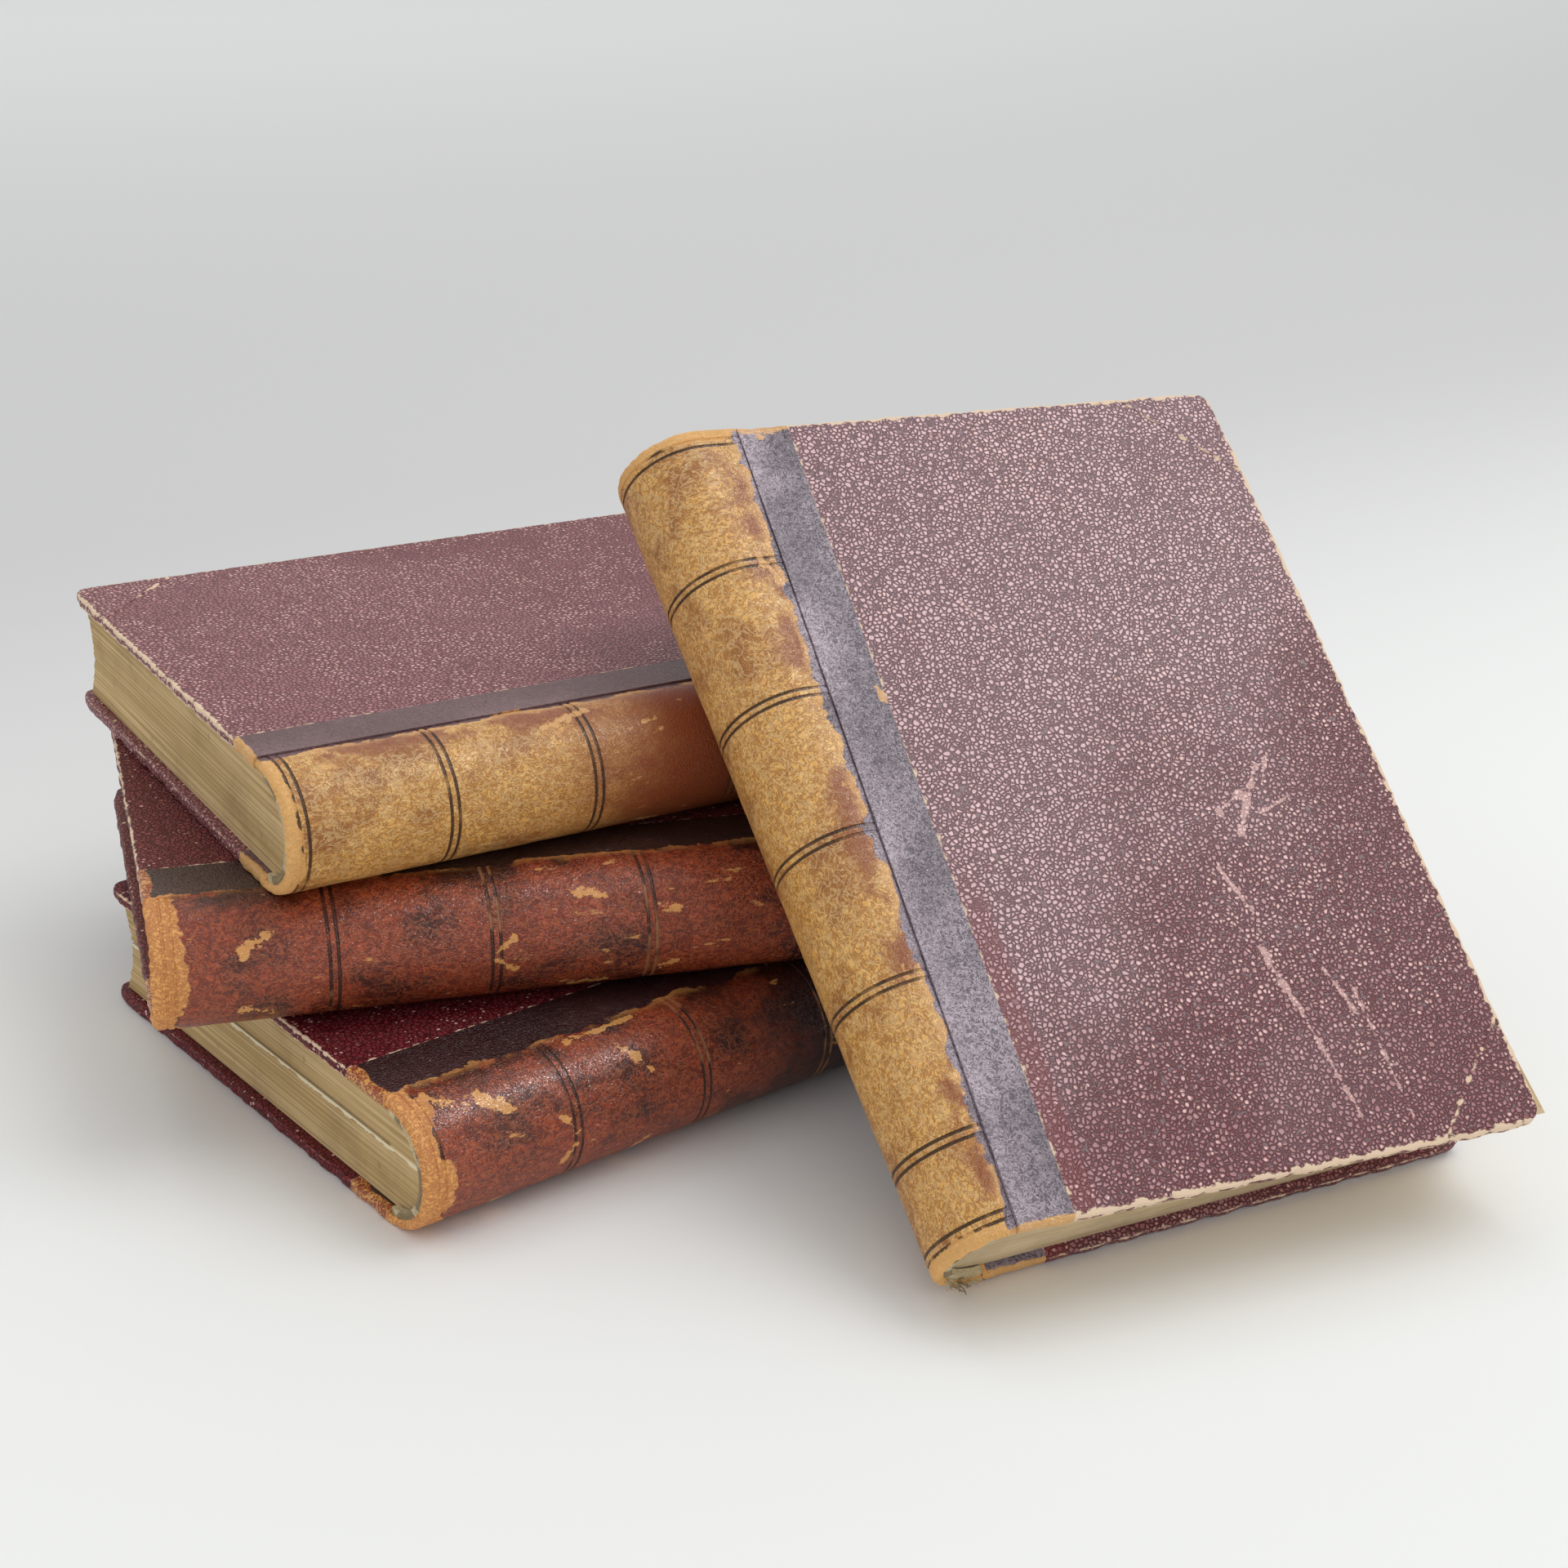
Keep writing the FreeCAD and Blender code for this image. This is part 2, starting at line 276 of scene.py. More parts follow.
# %% Distances on a cover
web, given, result = new_group(
    "cover distances",
    {"Place": "Vector", "Thickness": "Float"},
    {"Edge": "Float", "Strip": "Float", "Corner": "Float"},
)
across, along, through = web.split(given["Place"])
from_fore_edge = web.minus(cover_width, across)
from_head = web.minus(cover_height, along)
from_end = web.math("MINIMUM", along, from_head)
from_outside = web.math("MINIMUM", through, web.minus(given["Thickness"], through))
from_face = web.math("MINIMUM", from_outside, web.minus(cover_thickness, from_outside))
from_outline = web.math("MINIMUM", from_fore_edge, from_end)
web.put(result["Edge"], web.math("MAXIMUM", from_outline, from_face))
web.put(result["Strip"], web.minus(across, strip_width))
corner_sum = web.plus(from_fore_edge, from_end)
web.put(result["Corner"], web.times(web.minus(corner_sum, corner_leg), sqrt(0.5)))

# %% [markdown]
# Book cloth and the leather here both have a pressed grain: small pebbles with dark
# furrows between them. A Voronoi pattern gives one cell for each pebble, its distance
# gives the height, and its random colour picks which pebbles are rubbed pale.

# %% Pebbled grain with rubbed tops
web, given, result = new_group(
    "pebbled grain",
    {"Place": "Vector", "Size": "Float", "Rubbed": "Float"},
    {"Height": "Float", "Specks": "Float", "Tone": "Float"},
)
cells = web.vector("DIVIDE", given["Place"], web.add("ShaderNodeCombineXYZ", [given["Size"]] * 3))
bend = web.noise(cells, 1.6, 2.0, output=1)
bent = web.vector("ADD", cells, web.vector("MULTIPLY", web.vector("SUBTRACT", bend, (0.5,) * 3), (0.6,) * 3))
pebbles = web.add("ShaderNodeTexVoronoi", named={"Vector": bent, "Scale": 1.0}).node
furrows = web.add("ShaderNodeTexVoronoi", named={"Vector": bent, "Scale": 1.0}, feature="DISTANCE_TO_EDGE")
web.put(result["Height"], web.fade(furrows, 0.02, 0.22))
chance, second_chance, third_chance = web.split(pebbles.outputs["Color"])
web.put(result["Tone"], third_chance)
picked = web.fade(web.minus(given["Rubbed"], chance), 0.0, 0.1)
speck_size = web.fade(second_chance, 0.0, 1.0, 0.18, 0.42)
inside = web.minus(speck_size, pebbles.outputs["Distance"])
web.put(result["Specks"], web.times(picked, web.fade(inside, -0.03, 0.12)))

# %% [markdown]
# Worn places have ragged outlines at more than one scale. One group turns noise into
# such patches: the size of the patches, how much they cover and how hard their outline
# is are its inputs.

# %% Ragged patches
web, given, result = new_group(
    "ragged patches",
    {"Place": "Vector", "Size": "Float", "Cover": "Float", "Softness": "Float", "Seed": "Float"},
    {"Mask": "Float"},
)
moved = web.vector("ADD", given["Place"], web.add("ShaderNodeCombineXYZ", [given["Seed"]] * 3))
scaled = web.vector("DIVIDE", moved, web.add("ShaderNodeCombineXYZ", [given["Size"]] * 3))
pattern = web.noise(scaled, 1.0, 6.0, 0.62)
limit = web.minus(1.0, given["Cover"])
low = web.minus(limit, given["Softness"])
high = web.plus(limit, given["Softness"])
web.put(result["Mask"], web.fade(pattern, low, high))

# %% [markdown]
# The binder pressed pairs of lines across the spine with a hot tool. The same sizes that
# set the grooves in the mesh also darken them here.

# %% Tooled double rules
rule_end_inset = 4.2 * MM
rule_first = 22.6 * MM
rule_spacing = 35.8 * MM
rule_count = 5
rule_gap = 1.9 * MM
rule_width = 0.7 * MM
rule_depth = 0.25 * MM

web, given, result = new_group("double rules", {"Place": "Vector"}, {"Mask": "Float"})
_, along, _ = web.split(given["Place"])
steps = web.math("DIVIDE", web.minus(along, rule_first), rule_spacing)
nearest = web.math("MINIMUM", web.math("ROUND", steps), float(rule_count - 1))
regular = web.math("ABSOLUTE", web.times(web.minus(steps, nearest), rule_spacing))
from_end = web.math("MINIMUM", along, web.minus(cover_height, along))
at_ends = web.math("ABSOLUTE", web.minus(from_end, rule_end_inset))
from_middle = web.math("MINIMUM", regular, at_ends)
from_line = web.math("ABSOLUTE", web.minus(from_middle, rule_gap / 2))
web.put(result["Mask"], web.fade(from_line, rule_width * 0.75, rule_width * 0.35))

# %% [markdown]
# Every material starts the same way: one Principled shader and the place attribute. Its
# roughness and its specular level are the same all over, so they are set on the shader.
# Grain that is too fine for the mesh is a bump with its true depth.


# %% A new material with its shader
def new_material(name, roughness, specular=0.5):
    """A material's web, its shader's inputs and the place attribute."""
    material = bpy.data.materials.new(name)
    material.use_nodes = True
    shader = material.node_tree.nodes["Principled BSDF"]
    web = Web(material.node_tree)
    shader.inputs["Roughness"].default_value = roughness
    shader.inputs["Specular IOR Level"].default_value = specular
    place = web.add("ShaderNodeAttribute", attribute_name="place", output=1)
    return material, web, shader.inputs, place


def add_bump(web, shader, height, depth):
    """Lets a height of 0 to 1 stand the given depth proud."""
    named = {"Height": height, "Strength": 1.0, "Distance": depth}
    web.put(shader["Normal"], web.add("ShaderNodeBump", named=named))


# %% [markdown]
# A scratch or a chip has a place of its own, so it can't come from a repeating pattern.
# The group measures how far a point of the surface is from the line between two given
# points, and noise makes the width uneven and breaks the line here and there.

# %% A scratch between two points
web, given, result = new_group(
    "scratch",
    {"Place": "Vector", "Start": "Vector", "End": "Vector", "Width": "Float"},
    {"Mask": "Float"},
)
flat_place = web.vector("MULTIPLY", given["Place"], (1, 1, 0))
arm = web.vector("SUBTRACT", flat_place, given["Start"])
line = web.vector("SUBTRACT", given["End"], given["Start"])
on_line = web.vector("DOT_PRODUCT", arm, line, output=1)
length_squared = web.vector("DOT_PRODUCT", line, line, output=1)
share = web.add("ShaderNodeClamp", (web.math("DIVIDE", on_line, length_squared),))
nearest = web.add("ShaderNodeVectorMath", named={0: line, "Scale": share}, operation="SCALE")
apart = web.vector("LENGTH", web.vector("SUBTRACT", arm, nearest), output=1)
wobble = web.noise(given["Place"], 4 * MM, 5.0, 0.7)
reach = web.times(given["Width"], web.fade(wobble, 0.3, 0.7, -0.5, 1.5))
web.put(result["Mask"], web.fade(web.minus(apart, reach), 0.15 * MM, -0.1 * MM))
scratch_share = 0.8


def add_scratches(web, place, colour, lines, tone):
    """The colour with scratches on it; a line is its start, end and width in millimetres."""
    for start, end, width in lines:
        ends = {"Start": Vector((*start, 0)) * MM, "End": Vector((*end, 0)) * MM}
        scratch = web.group("scratch", Place=place, Width=width * MM, **ends)
        colour = web.mix(web.times(scratch["Mask"], scratch_share), colour, tone)
    return colour


# %% [markdown]
# The cloth is a dark red, painted paler and greyer towards the head and the spine side: a painted sheen. Its
# pebble tops carry a painted highlight and its furrows painted shade. The tops are also rubbed to pink in
# patches, its edges are rubbed down to the cream board, and where it meets the leather a thin pale line
# shows. The corner pieces have the same colour, so one finish serves both. The layers are mixed in the order
# in which they came about.

# %% Worn maroon covering
RUBBED_PINK = tint(236, 188, 180)
PALE_SHEEN = tint(204, 172, 176)
BARE_BOARD = tint(236, 208, 178)
grain_size = 1.15 * MM
rubbed_heart = (98 * MM, 62 * MM, 0.0)
heart_reach = 44 * MM
patch_size = 46 * MM
cluster_size = 11 * MM
rubbed_border = 12 * MM
cloud_size = 45 * MM
darker_band_width = 7 * MM
darker_band_below = 90 * MM
grain_depth = 0.3 * MM
back_wear_and_shade = 0.35
scratch_lines = (
    # start, end and width in millimetres
    ((86, 52), (90, 30), 0.9),
    ((90, 30), (93, 9), 0.6),
    ((104, 38), (105, 7), 0.6),
    ((99, 44), (103, 30), 0.7),
    ((93, 80), (104, 97), 1.0),
    ((90, 86), (97, 90), 1.1),
    ((100, 84), (110, 88), 0.7),
    ((104, 92), (108, 99), 0.7),
    ((84, 72), (88, 60), 0.6),
    ((47, 150), (53, 141), 0.4),
)


def maroon_covering(volume, seed, tones, rubbed, specks_and_glints, sheen_share, edge_wear, specular, marked=False):
    """Book cloth and corner leather, rubbed at random and along its edges.

    rubbed scales the worn patches, specks_and_glints adds rubbed specks and sets the painted
    highlight on all pebble tops, sheen_share the share of the pale tone's painted sheen,
    and edge_wear how far the bare board shows. A marked one is scratched.
    """
    deep, pale, furrow = (tint(*tone) for tone in tones)
    material, web, shader, place = new_material("maroon_cloth_" + volume, 0.45, specular)
    distances = web.group("cover distances", Place=place, Thickness=thickness_of[volume])
    patches = web.group("ragged patches", Place=place, Size=patch_size, Cover=0.5, Softness=0.08, Seed=seed)
    clusters = web.group(
        "ragged patches", Place=place, Size=cluster_size, Cover=0.53, Softness=0.1, Seed=seed + 5,
    )
    across, along, through = web.split(place)
    near_edge = web.fade(distances["Edge"], rubbed_border, 0.5 * MM)
    chance = web.times(patches["Mask"], clusters["Mask"])
    # The back covers' edges are worn less: partly their own wear, partly painted shade on that side.
    side_wear_and_shade = web.fade(through, cover_thickness, 2 * cover_thickness, back_wear_and_shade, 1.0)
    chance = web.plus(chance, web.times(near_edge, web.times(side_wear_and_shade, 0.4)))
    chance = web.times(web.plus(chance, specks_and_glints * 0.35), rubbed)
    if marked:
        apart = web.vector("DISTANCE", web.vector("MULTIPLY", place, (1, 1, 0)), rubbed_heart, output=1)
        gathered = web.fade(clusters["Mask"], 0.0, 1.0, 0.35, 1.0)
        heart = web.times(web.fade(apart, heart_reach, 6 * MM), gathered)
        chance = web.plus(chance, heart)
    grain = web.group("pebbled grain", Place=place, Size=grain_size, Rubbed=chance)
    # Painted sheen: paler towards the head and the spine side, with a cloudy edge.
    cloud = web.fade(web.noise(place, cloud_size, 4.0), 0.3, 0.7, -cloud_size, cloud_size)
    upwards = web.plus(web.minus(along, across), cloud)
    painted_sheen = web.fade(upwards, -75 * MM, 70 * MM, 0.0, sheen_share)
    colour = web.mix(painted_sheen, deep, pale)
    # Painted shade: darker in the furrows between the pebbles.
    colour = web.mix(web.fade(grain["Height"], 0.0, 0.75, 0.95, 0.0), colour, furrow)
    # Painted highlight: paler pebble tops, brighter on some pebbles than on others.
    glint_share = web.fade(grain["Tone"], 0.1, 1.0, 1.5 * specks_and_glints, 2.3 * specks_and_glints)
    top_glints = web.times(web.fade(grain["Height"], 0.5, 1.0), glint_share)
    colour = web.mix(top_glints, colour, PALE_SHEEN)
    # Beside the strip, towards the tail, the colour is pulled halfway back to the deep tone.
    beside_strip = web.fade(distances["Strip"], darker_band_width, 4.5 * MM)
    darker_band = web.times(beside_strip, web.fade(along, darker_band_below, 60 * MM))
    colour = web.mix(web.times(darker_band, 0.5), colour, deep)
    colour = web.mix(web.times(grain["Specks"], 0.85), colour, RUBBED_PINK)
    ragged = web.noise(place, 2.2 * MM, 5.0, 0.6)
    reach = web.fade(ragged, 0.3, 0.72, 0.7 * edge_wear, 2.3 * edge_wear)
    reach = web.times(reach, side_wear_and_shade)
    bare = web.fade(web.minus(distances["Edge"], reach), 0.25 * MM, -0.1 * MM)
    seam_noise = web.noise(place, 3.5 * MM, 5.0, 0.65)
    seam_reach = web.fade(seam_noise, 0.4, 0.7, -0.45 * MM, 0.7 * MM)
    seam = web.minus(web.math("ABSOLUTE", distances["Corner"]), seam_reach)
    strip_line = web.minus(web.math("ABSOLUTE", distances["Strip"]), seam_reach)
    bare = web.math("MAXIMUM", bare, web.fade(seam, 0.3 * MM, -0.1 * MM))
    bare = web.math("MAXIMUM", bare, web.fade(strip_line, 0.5 * MM, 0.0))
    if marked:
        colour = add_scratches(web, place, colour, scratch_lines, RUBBED_PINK)
    colour = web.mix(bare, colour, BARE_BOARD)
    web.put(shader["Base Color"], colour)
    web.put(shader["Roughness"], web.fade(bare, 0.0, 1.0, 0.45, 0.85))
    height = web.times(grain["Height"], web.minus(1.0, bare))
    add_bump(web, shader, height, grain_depth)
    return material


# %% [markdown]
# The leather over the spine and the strip beside it began as one dark skin. Light has
# bleached the round of the spine: to ochre on two volumes and to a glossy red-brown on
# the other two, where flakes show tan. On the covers the skin is still nearly black.
# One finish holds all of it, so the ragged line between them falls inside the piece.

# %% Spine leather
ragged_edge_x = 6.2 * MM
mottle_size = 17 * MM
crackle_size = 2.9 * MM
fine_crackle_size = 1.5 * MM
flake_size = 5 * MM
leather_grain_size = 0.8 * MM
leather_grain_depth = 0.14 * MM
dull_roughness = 0.7


def worming(web, place, size, width):
    """Thin wandering lines, as in crackled or scuffed leather."""
    pattern = web.noise(place, size, 2.0, 0.6, 0.9)
    return web.fade(web.math("ABSOLUTE", web.minus(pattern, 0.5)), width, width * 0.3)


def spine_leather(name, seed, look):
    """Leather whose round has one colour, whose strip is nearly black and whose ends are worn.

    The look holds the tones and the numbers by which the four spines differ.
    """
    base, dark, light, worn, deep, strip_dark, strip_sheen, ink = (tint(*tone) for tone in look["tones"])
    material, web, shader, place = new_material(name, look["gloss"], look["specular"])
    across, along, _ = web.split(place)
    from_end = web.math("MINIMUM", along, web.minus(cover_height, along))
    mottle = web.noise(web.vector("ADD", place, (seed, seed, 0)), mottle_size, 5.0, 0.62)
    lines = worming(web, place, crackle_size, 0.06)
    fine_lines = worming(web, place, fine_crackle_size, 0.1)
    colour = web.mix(web.fade(mottle, 0.46, 0.66, 0.0, 0.8), base, dark)
    colour = web.mix(web.times(fine_lines, look["crackle"]), colour, dark)
    colour = web.mix(web.times(lines, look["crackle"] * 0.6), colour, light)
    # Darker towards the tail on some spines: partly the leather's own colour, partly painted shade from the
    # leaning volume.
    ragged_along = web.minus(along, web.times(mottle, 40 * MM))
    tail_dark_and_shade = web.fade(ragged_along, *look["dark_and_shade_from"])
    colour = web.mix(tail_dark_and_shade, colour, deep)
    shoulder = web.times(web.fade(across, -3 * MM, 3 * MM), web.fade(mottle, 0.44, 0.54))
    colour = web.mix(web.times(shoulder, 0.75), colour, deep)
    scuffed = web.stretch(place, (1.0, 2.2, 1.0))
    flaked = web.group(
        "ragged patches", Place=scuffed, Size=flake_size, Cover=look["flakes"], Softness=0.03, Seed=seed,
    )
    colour = web.mix(web.times(flaked["Mask"], 0.75), colour, worn)
    rules = web.group("double rules", Place=place)
    rubbed_rules = web.noise(place, 14 * MM, 2.0)
    rule_colour = web.mix(web.fade(rubbed_rules, 0.5, 0.6), ink, tint(*look["rubbed rule"]))
    pressed = web.times(rules["Mask"], web.fade(rubbed_rules, 0.3, 0.42, 0.4, 0.95))
    colour = web.mix(pressed, colour, rule_colour)
    ragged = web.noise(web.vector("ADD", place, (seed, seed, 0)), 11 * MM, 7.0, 0.6)
    edge_x = web.fade(ragged, 0.25, 0.75, ragged_edge_x - 2.0 * MM, ragged_edge_x + 2.4 * MM)
    past_edge = web.minus(across, edge_x)
    on_strip = web.fade(past_edge, -0.15 * MM, 0.2 * MM)
    rim_start = web.fade(past_edge, -3.0 * MM, -0.3 * MM)
    rim = web.times(rim_start, web.fade(past_edge, 0.2 * MM, -0.1 * MM))
    rim = web.times(rim, web.fade(ragged, 0.42, 0.56))
    colour = web.mix(web.times(rim, look["rim"]), colour, worn)
    grain = web.group("pebbled grain", Place=place, Size=leather_grain_size, Rubbed=0.02)
    # The strip's sheen is painted: a painted highlight along the joint, painted shine in broad patches and
    # on pale crease lines.
    glow = web.times(web.fade(across, 4 * MM, 9 * MM), web.fade(across, 15 * MM, 9 * MM))
    shine = web.fade(web.noise(place, 30 * MM, 4.0, 0.6), 0.38, 0.64, 0.35, 0.75)
    crease_sheen = worming(web, place, 1.3 * MM, 0.1)
    sheen = web.plus(web.times(crease_sheen, 0.75), web.times(glow, 0.3))
    strip = web.mix(web.times(web.plus(sheen, 0.3), shine), strip_dark, strip_sheen)
    strip = web.mix(web.times(grain["Specks"], 0.7), strip, RUBBED_PINK)
    cap_line = web.fade(ragged, 0.3, 0.72, look["cap"] * 0.6, look["cap"] * 1.3)
    past_cap = web.minus(from_end, web.times(cap_line, 0.4))
    strip_cap = web.fade(past_cap, 0.3 * MM, -0.2 * MM)
    strip = web.mix(web.times(strip_cap, 0.85), strip, web.mix(fine_lines, worn, base))
    colour = web.mix(on_strip, colour, strip)
    colour = add_scratches(web, place, colour, look["chips"], worn)
    cap = web.fade(web.minus(from_end, cap_line), 0.3 * MM, -0.2 * MM)
    cap = web.times(cap, web.minus(1.0, on_strip))
    cap_colour = web.mix(web.times(fine_lines, 0.5), worn, base)
    colour = web.mix(web.times(cap, 0.92), colour, cap_colour)
    web.put(shader["Base Color"], colour)
    dull = web.math("MAXIMUM", cap, flaked["Mask"])
    web.put(shader["Roughness"], web.fade(dull, 0.0, 1.0, look["gloss"], dull_roughness))
    pebbles = web.times(grain["Height"], 0.5)
    height = web.minus(pebbles, web.times(fine_lines, 0.6))
    add_bump(web, shader, height, leather_grain_depth)
    return material


# %% [markdown]
# Page edges are hundreds of thin leaves. Noise that is stretched along a leaf and very
# short through the thickness gives their streaks, and a second one groups them into
# sections. Dust lies on them in ragged patches, and small brown specks are foxing.


# %% Page edges and old paper
split_width = 0.9 * MM
split_depth = 9.0 * MM
split_start_x = 8.5 * MM
split_height = 0.56 * thickness_of["bottom"]
TORN_PAPER = tint(236, 222, 188)
PAGE_DIRT = tint(118, 92, 60)
FOXING = tint(94, 66, 40)
THREAD_SHADE = tint(92, 74, 50)


def page_paper(name, light, dark, split=False):
    """The edges of the leaves; a split block has a torn pale lip at its head."""
    material, web, shader, place = new_material(name, 0.85, 0.2)
    leaves = web.noise(web.stretch(place, (60 * MM, 60 * MM, 0.35 * MM)), 1.0, 4.0, 0.6)
    sections = web.noise(web.stretch(place, (90 * MM, 90 * MM, 2.4 * MM)), 1.0, 2.0)
    colour = web.mix(web.fade(leaves, 0.32, 0.68), dark, light)
    colour = web.mix(web.times(web.fade(sections, 0.58, 0.42), 0.5), colour, dark)
    dirt = web.group("ragged patches", Place=place, Size=24 * MM, Cover=0.45, Softness=0.15, Seed=3.0)
    colour = web.mix(web.times(dirt["Mask"], 0.35), colour, PAGE_DIRT)
    foxing = web.group("pebbled grain", Place=place, Size=2.6 * MM, Rubbed=0.05)
    colour = web.mix(web.times(foxing["Specks"], 0.6), colour, FOXING)
    if split:
        _, along, through = web.split(place)
        torn = web.fade(web.noise(place, 5 * MM, 5.0, 0.6), 0.3, 0.7, 0.1 * MM, 1.1 * MM)
        below = web.minus(split_height - split_width / 2, through)
        lip_end = web.fade(web.minus(below, torn), 0.15 * MM, 0.0)
        lip = web.times(web.fade(below, -0.1 * MM, 0.05 * MM), lip_end)
        at_head = web.fade(along, cover_height - 6 * MM, cover_height - 4 * MM)
        colour = web.mix(web.times(lip, at_head), colour, TORN_PAPER)
    web.put(shader["Base Color"], colour)
    add_bump(web, shader, leaves, 0.12 * MM)
    return material


def flat_paper(name, light, dark):
    """Endpaper and lining, whose nodes have no place attribute of their own."""
    material, web, shader, _ = new_material(name, 0.8, 0.25)
    here = web.add("ShaderNodeTexCoord", output=3)
    stain = web.noise(here, 30 * MM, 5.0, 0.6)
    fibres = web.noise(web.stretch(here, (0.5 * MM, 2.5 * MM, 0.5 * MM)), 1.0, 4.0)
    colour = web.mix(web.fade(stain, 0.4, 0.7), light, dark)
    colour = web.mix(web.fade(fibres, 0.3, 0.7, 0.0, 0.25), colour, dark)
    web.put(shader["Base Color"], colour)
    add_bump(web, shader, fibres, 0.05 * MM)
    return material


def sewn_thread(name, first, second):
    """Silk wound over the head and tail bands in two colours."""
    material, web, shader, _ = new_material(name, 0.5)
    here = web.add("ShaderNodeTexCoord", output=3)
    strands = web.noise(web.stretch(here, (0.3 * MM, 0.3 * MM, 0.3 * MM)), 1.0, 3.0)
    blocks = web.noise(here, 5 * MM, 1.0)
    colour = web.mix(web.fade(blocks, 0.47, 0.53), first, second)
    colour = web.mix(web.fade(strands, 0.35, 0.7, 0.0, 0.5), colour, THREAD_SHADE)
    web.put(shader["Base Color"], colour)
    add_bump(web, shader, strands, 0.08 * MM)
    return material


# %% [markdown]
# The four volumes are one set, but each has faded in its own way. The functions above
# are called once for each of them with its own tones, so a change to the cloth or the
# leather reaches every volume, and a change to one tone reaches only its own.

# %% The finishes of the four volumes
cloth_of = {
    # name, seed, (deep, painted sheen and furrow shade tones), rubbed, specks and glints, sheen share, edge
    # wear, specular
    "bottom": maroon_covering(
        "bottom", 11.0, ((124, 14, 26), (134, 28, 38), (74, 8, 18)), 0.4, 0.02, 0.4, 0.42 * MM, 0.3,
    ),
    "middle": maroon_covering(
        "middle", 23.0, ((128, 46, 42), (146, 64, 58), (80, 24, 26)), 0.5, 0.03, 0.4, 0.42 * MM, 0.3,
    ),
    "top": maroon_covering(
        "top", 37.0, ((144, 70, 72), (176, 114, 116), (104, 46, 50)), 2.2, 0.05, 0.7, 0.6 * MM, 0.4,
    ),
    "leaning": maroon_covering(
        "leaning", 52.0, ((136, 46, 50), (208, 164, 168), (86, 38, 46)), 0.8, 0.12, 1.0, 0.8 * MM, 0.5, True,
    ),
}
ochre_tones = ((234, 176, 92), (152, 88, 30), (250, 214, 152), (240, 184, 116), (148, 72, 34))
brown_tones = ((164, 68, 36), (50, 18, 12), (206, 112, 64), (244, 176, 98), (50, 20, 14))
ochre_leather = {
    "crackle": 0.62, "gloss": 0.42, "specular": 0.5, "cap": 3.6 * MM, "flakes": 0.34,
    "rim": 0.8, "rubbed rule": (96, 62, 32),
}
brown_leather = {
    "crackle": 0.55, "gloss": 0.22, "specular": 0.6, "cap": 6.5 * MM, "flakes": 0.33,
    "rim": 0.5, "rubbed rule": (164, 112, 72),
}
looks = {
    # tones: base, dark, light, worn, deep, strip, its sheen and the ink of the rules;
    # chips: start, end and width in millimetres
    "leaning": ochre_leather | {
        "tones": (*ochre_tones, (54, 40, 54), (196, 178, 188), (66, 42, 22)),
        "dark_and_shade_from": (-60 * MM, -80 * MM),
        "chips": (((19.6, 129), (20.6, 125), 1.1), ((8, 204), (18, 203), 2.2), ((2, 168), (6, 160), 1.6)),
    },
    "top": ochre_leather | {
        "tones": (*ochre_tones, (92, 58, 58), (132, 100, 100), (70, 42, 22)),
        "dark_and_shade_from": (135 * MM, 85 * MM),
        "chips": (((-2, 140), (2, 128), 1.2), ((-6, 120), (-5, 112), 0.8)),
    },
    "middle": brown_leather | {
        "tones": (*brown_tones, (50, 26, 20), (84, 56, 48), (66, 34, 22)),
        "dark_and_shade_from": (20 * MM, -20 * MM),
        "chips": (
            ((-12, 186), (-9, 180), 1.5), ((-6, 112), (-7, 105), 1.3), ((-11, 92), (-12, 88), 1.0),
            ((-18, 130), (-15, 126), 0.9),
        ),
    },
    "bottom": brown_leather | {
        "tones": (*brown_tones, (46, 18, 20), (70, 40, 40), (66, 34, 22)),
        "dark_and_shade_from": (110 * MM, 70 * MM),
        "chips": (
            ((-4, 186), (-8, 182), 2.2), ((0, 197), (-4, 190), 1.8), ((-3, 150), (-10, 145), 1.4),
            ((-14, 170), (-18, 166), 1.0), ((3, 160), (4, 140), 1.1),
        ),
    },
}
leather_of = {}
for volume, look in looks.items():
    leather_of[volume] = spine_leather("spine_leather_" + volume, thickness_of[volume] / MM, look)
aged_light, aged_dark = tint(224, 196, 148), tint(178, 148, 98)
aged_pages = page_paper("aged_pages", aged_light, aged_dark)
pages_of = {
    "bottom": page_paper("split_pages", aged_light, aged_dark, split=True),
    "middle": aged_pages,
    "top": aged_pages,
    "leaning": page_paper("pale_pages", tint(248, 230, 198), tint(206, 180, 138)),
}
endpaper = flat_paper("endpaper", tint(206, 186, 146), tint(172, 142, 98))
lining = flat_paper("lining_paper", tint(172, 148, 108), tint(132, 104, 70))
thread = sewn_thread("sewn_thread", tint(222, 206, 166), tint(156, 136, 100))
print("made", len(bpy.data.materials), "finishes")

# %% [markdown]
# A cover is a board with its covering drawn round three edges and glued down inside.
# In the mesh it is a set of rings, one inside the other, that follow the outline: they
# round the edges, and noise moves them in where the edge is worn. Big flat faces close
# it inside and out. It is then cut along the strip and the corner seams, so that strip,
# cloth and corner pieces are separate pieces as on the real cover.

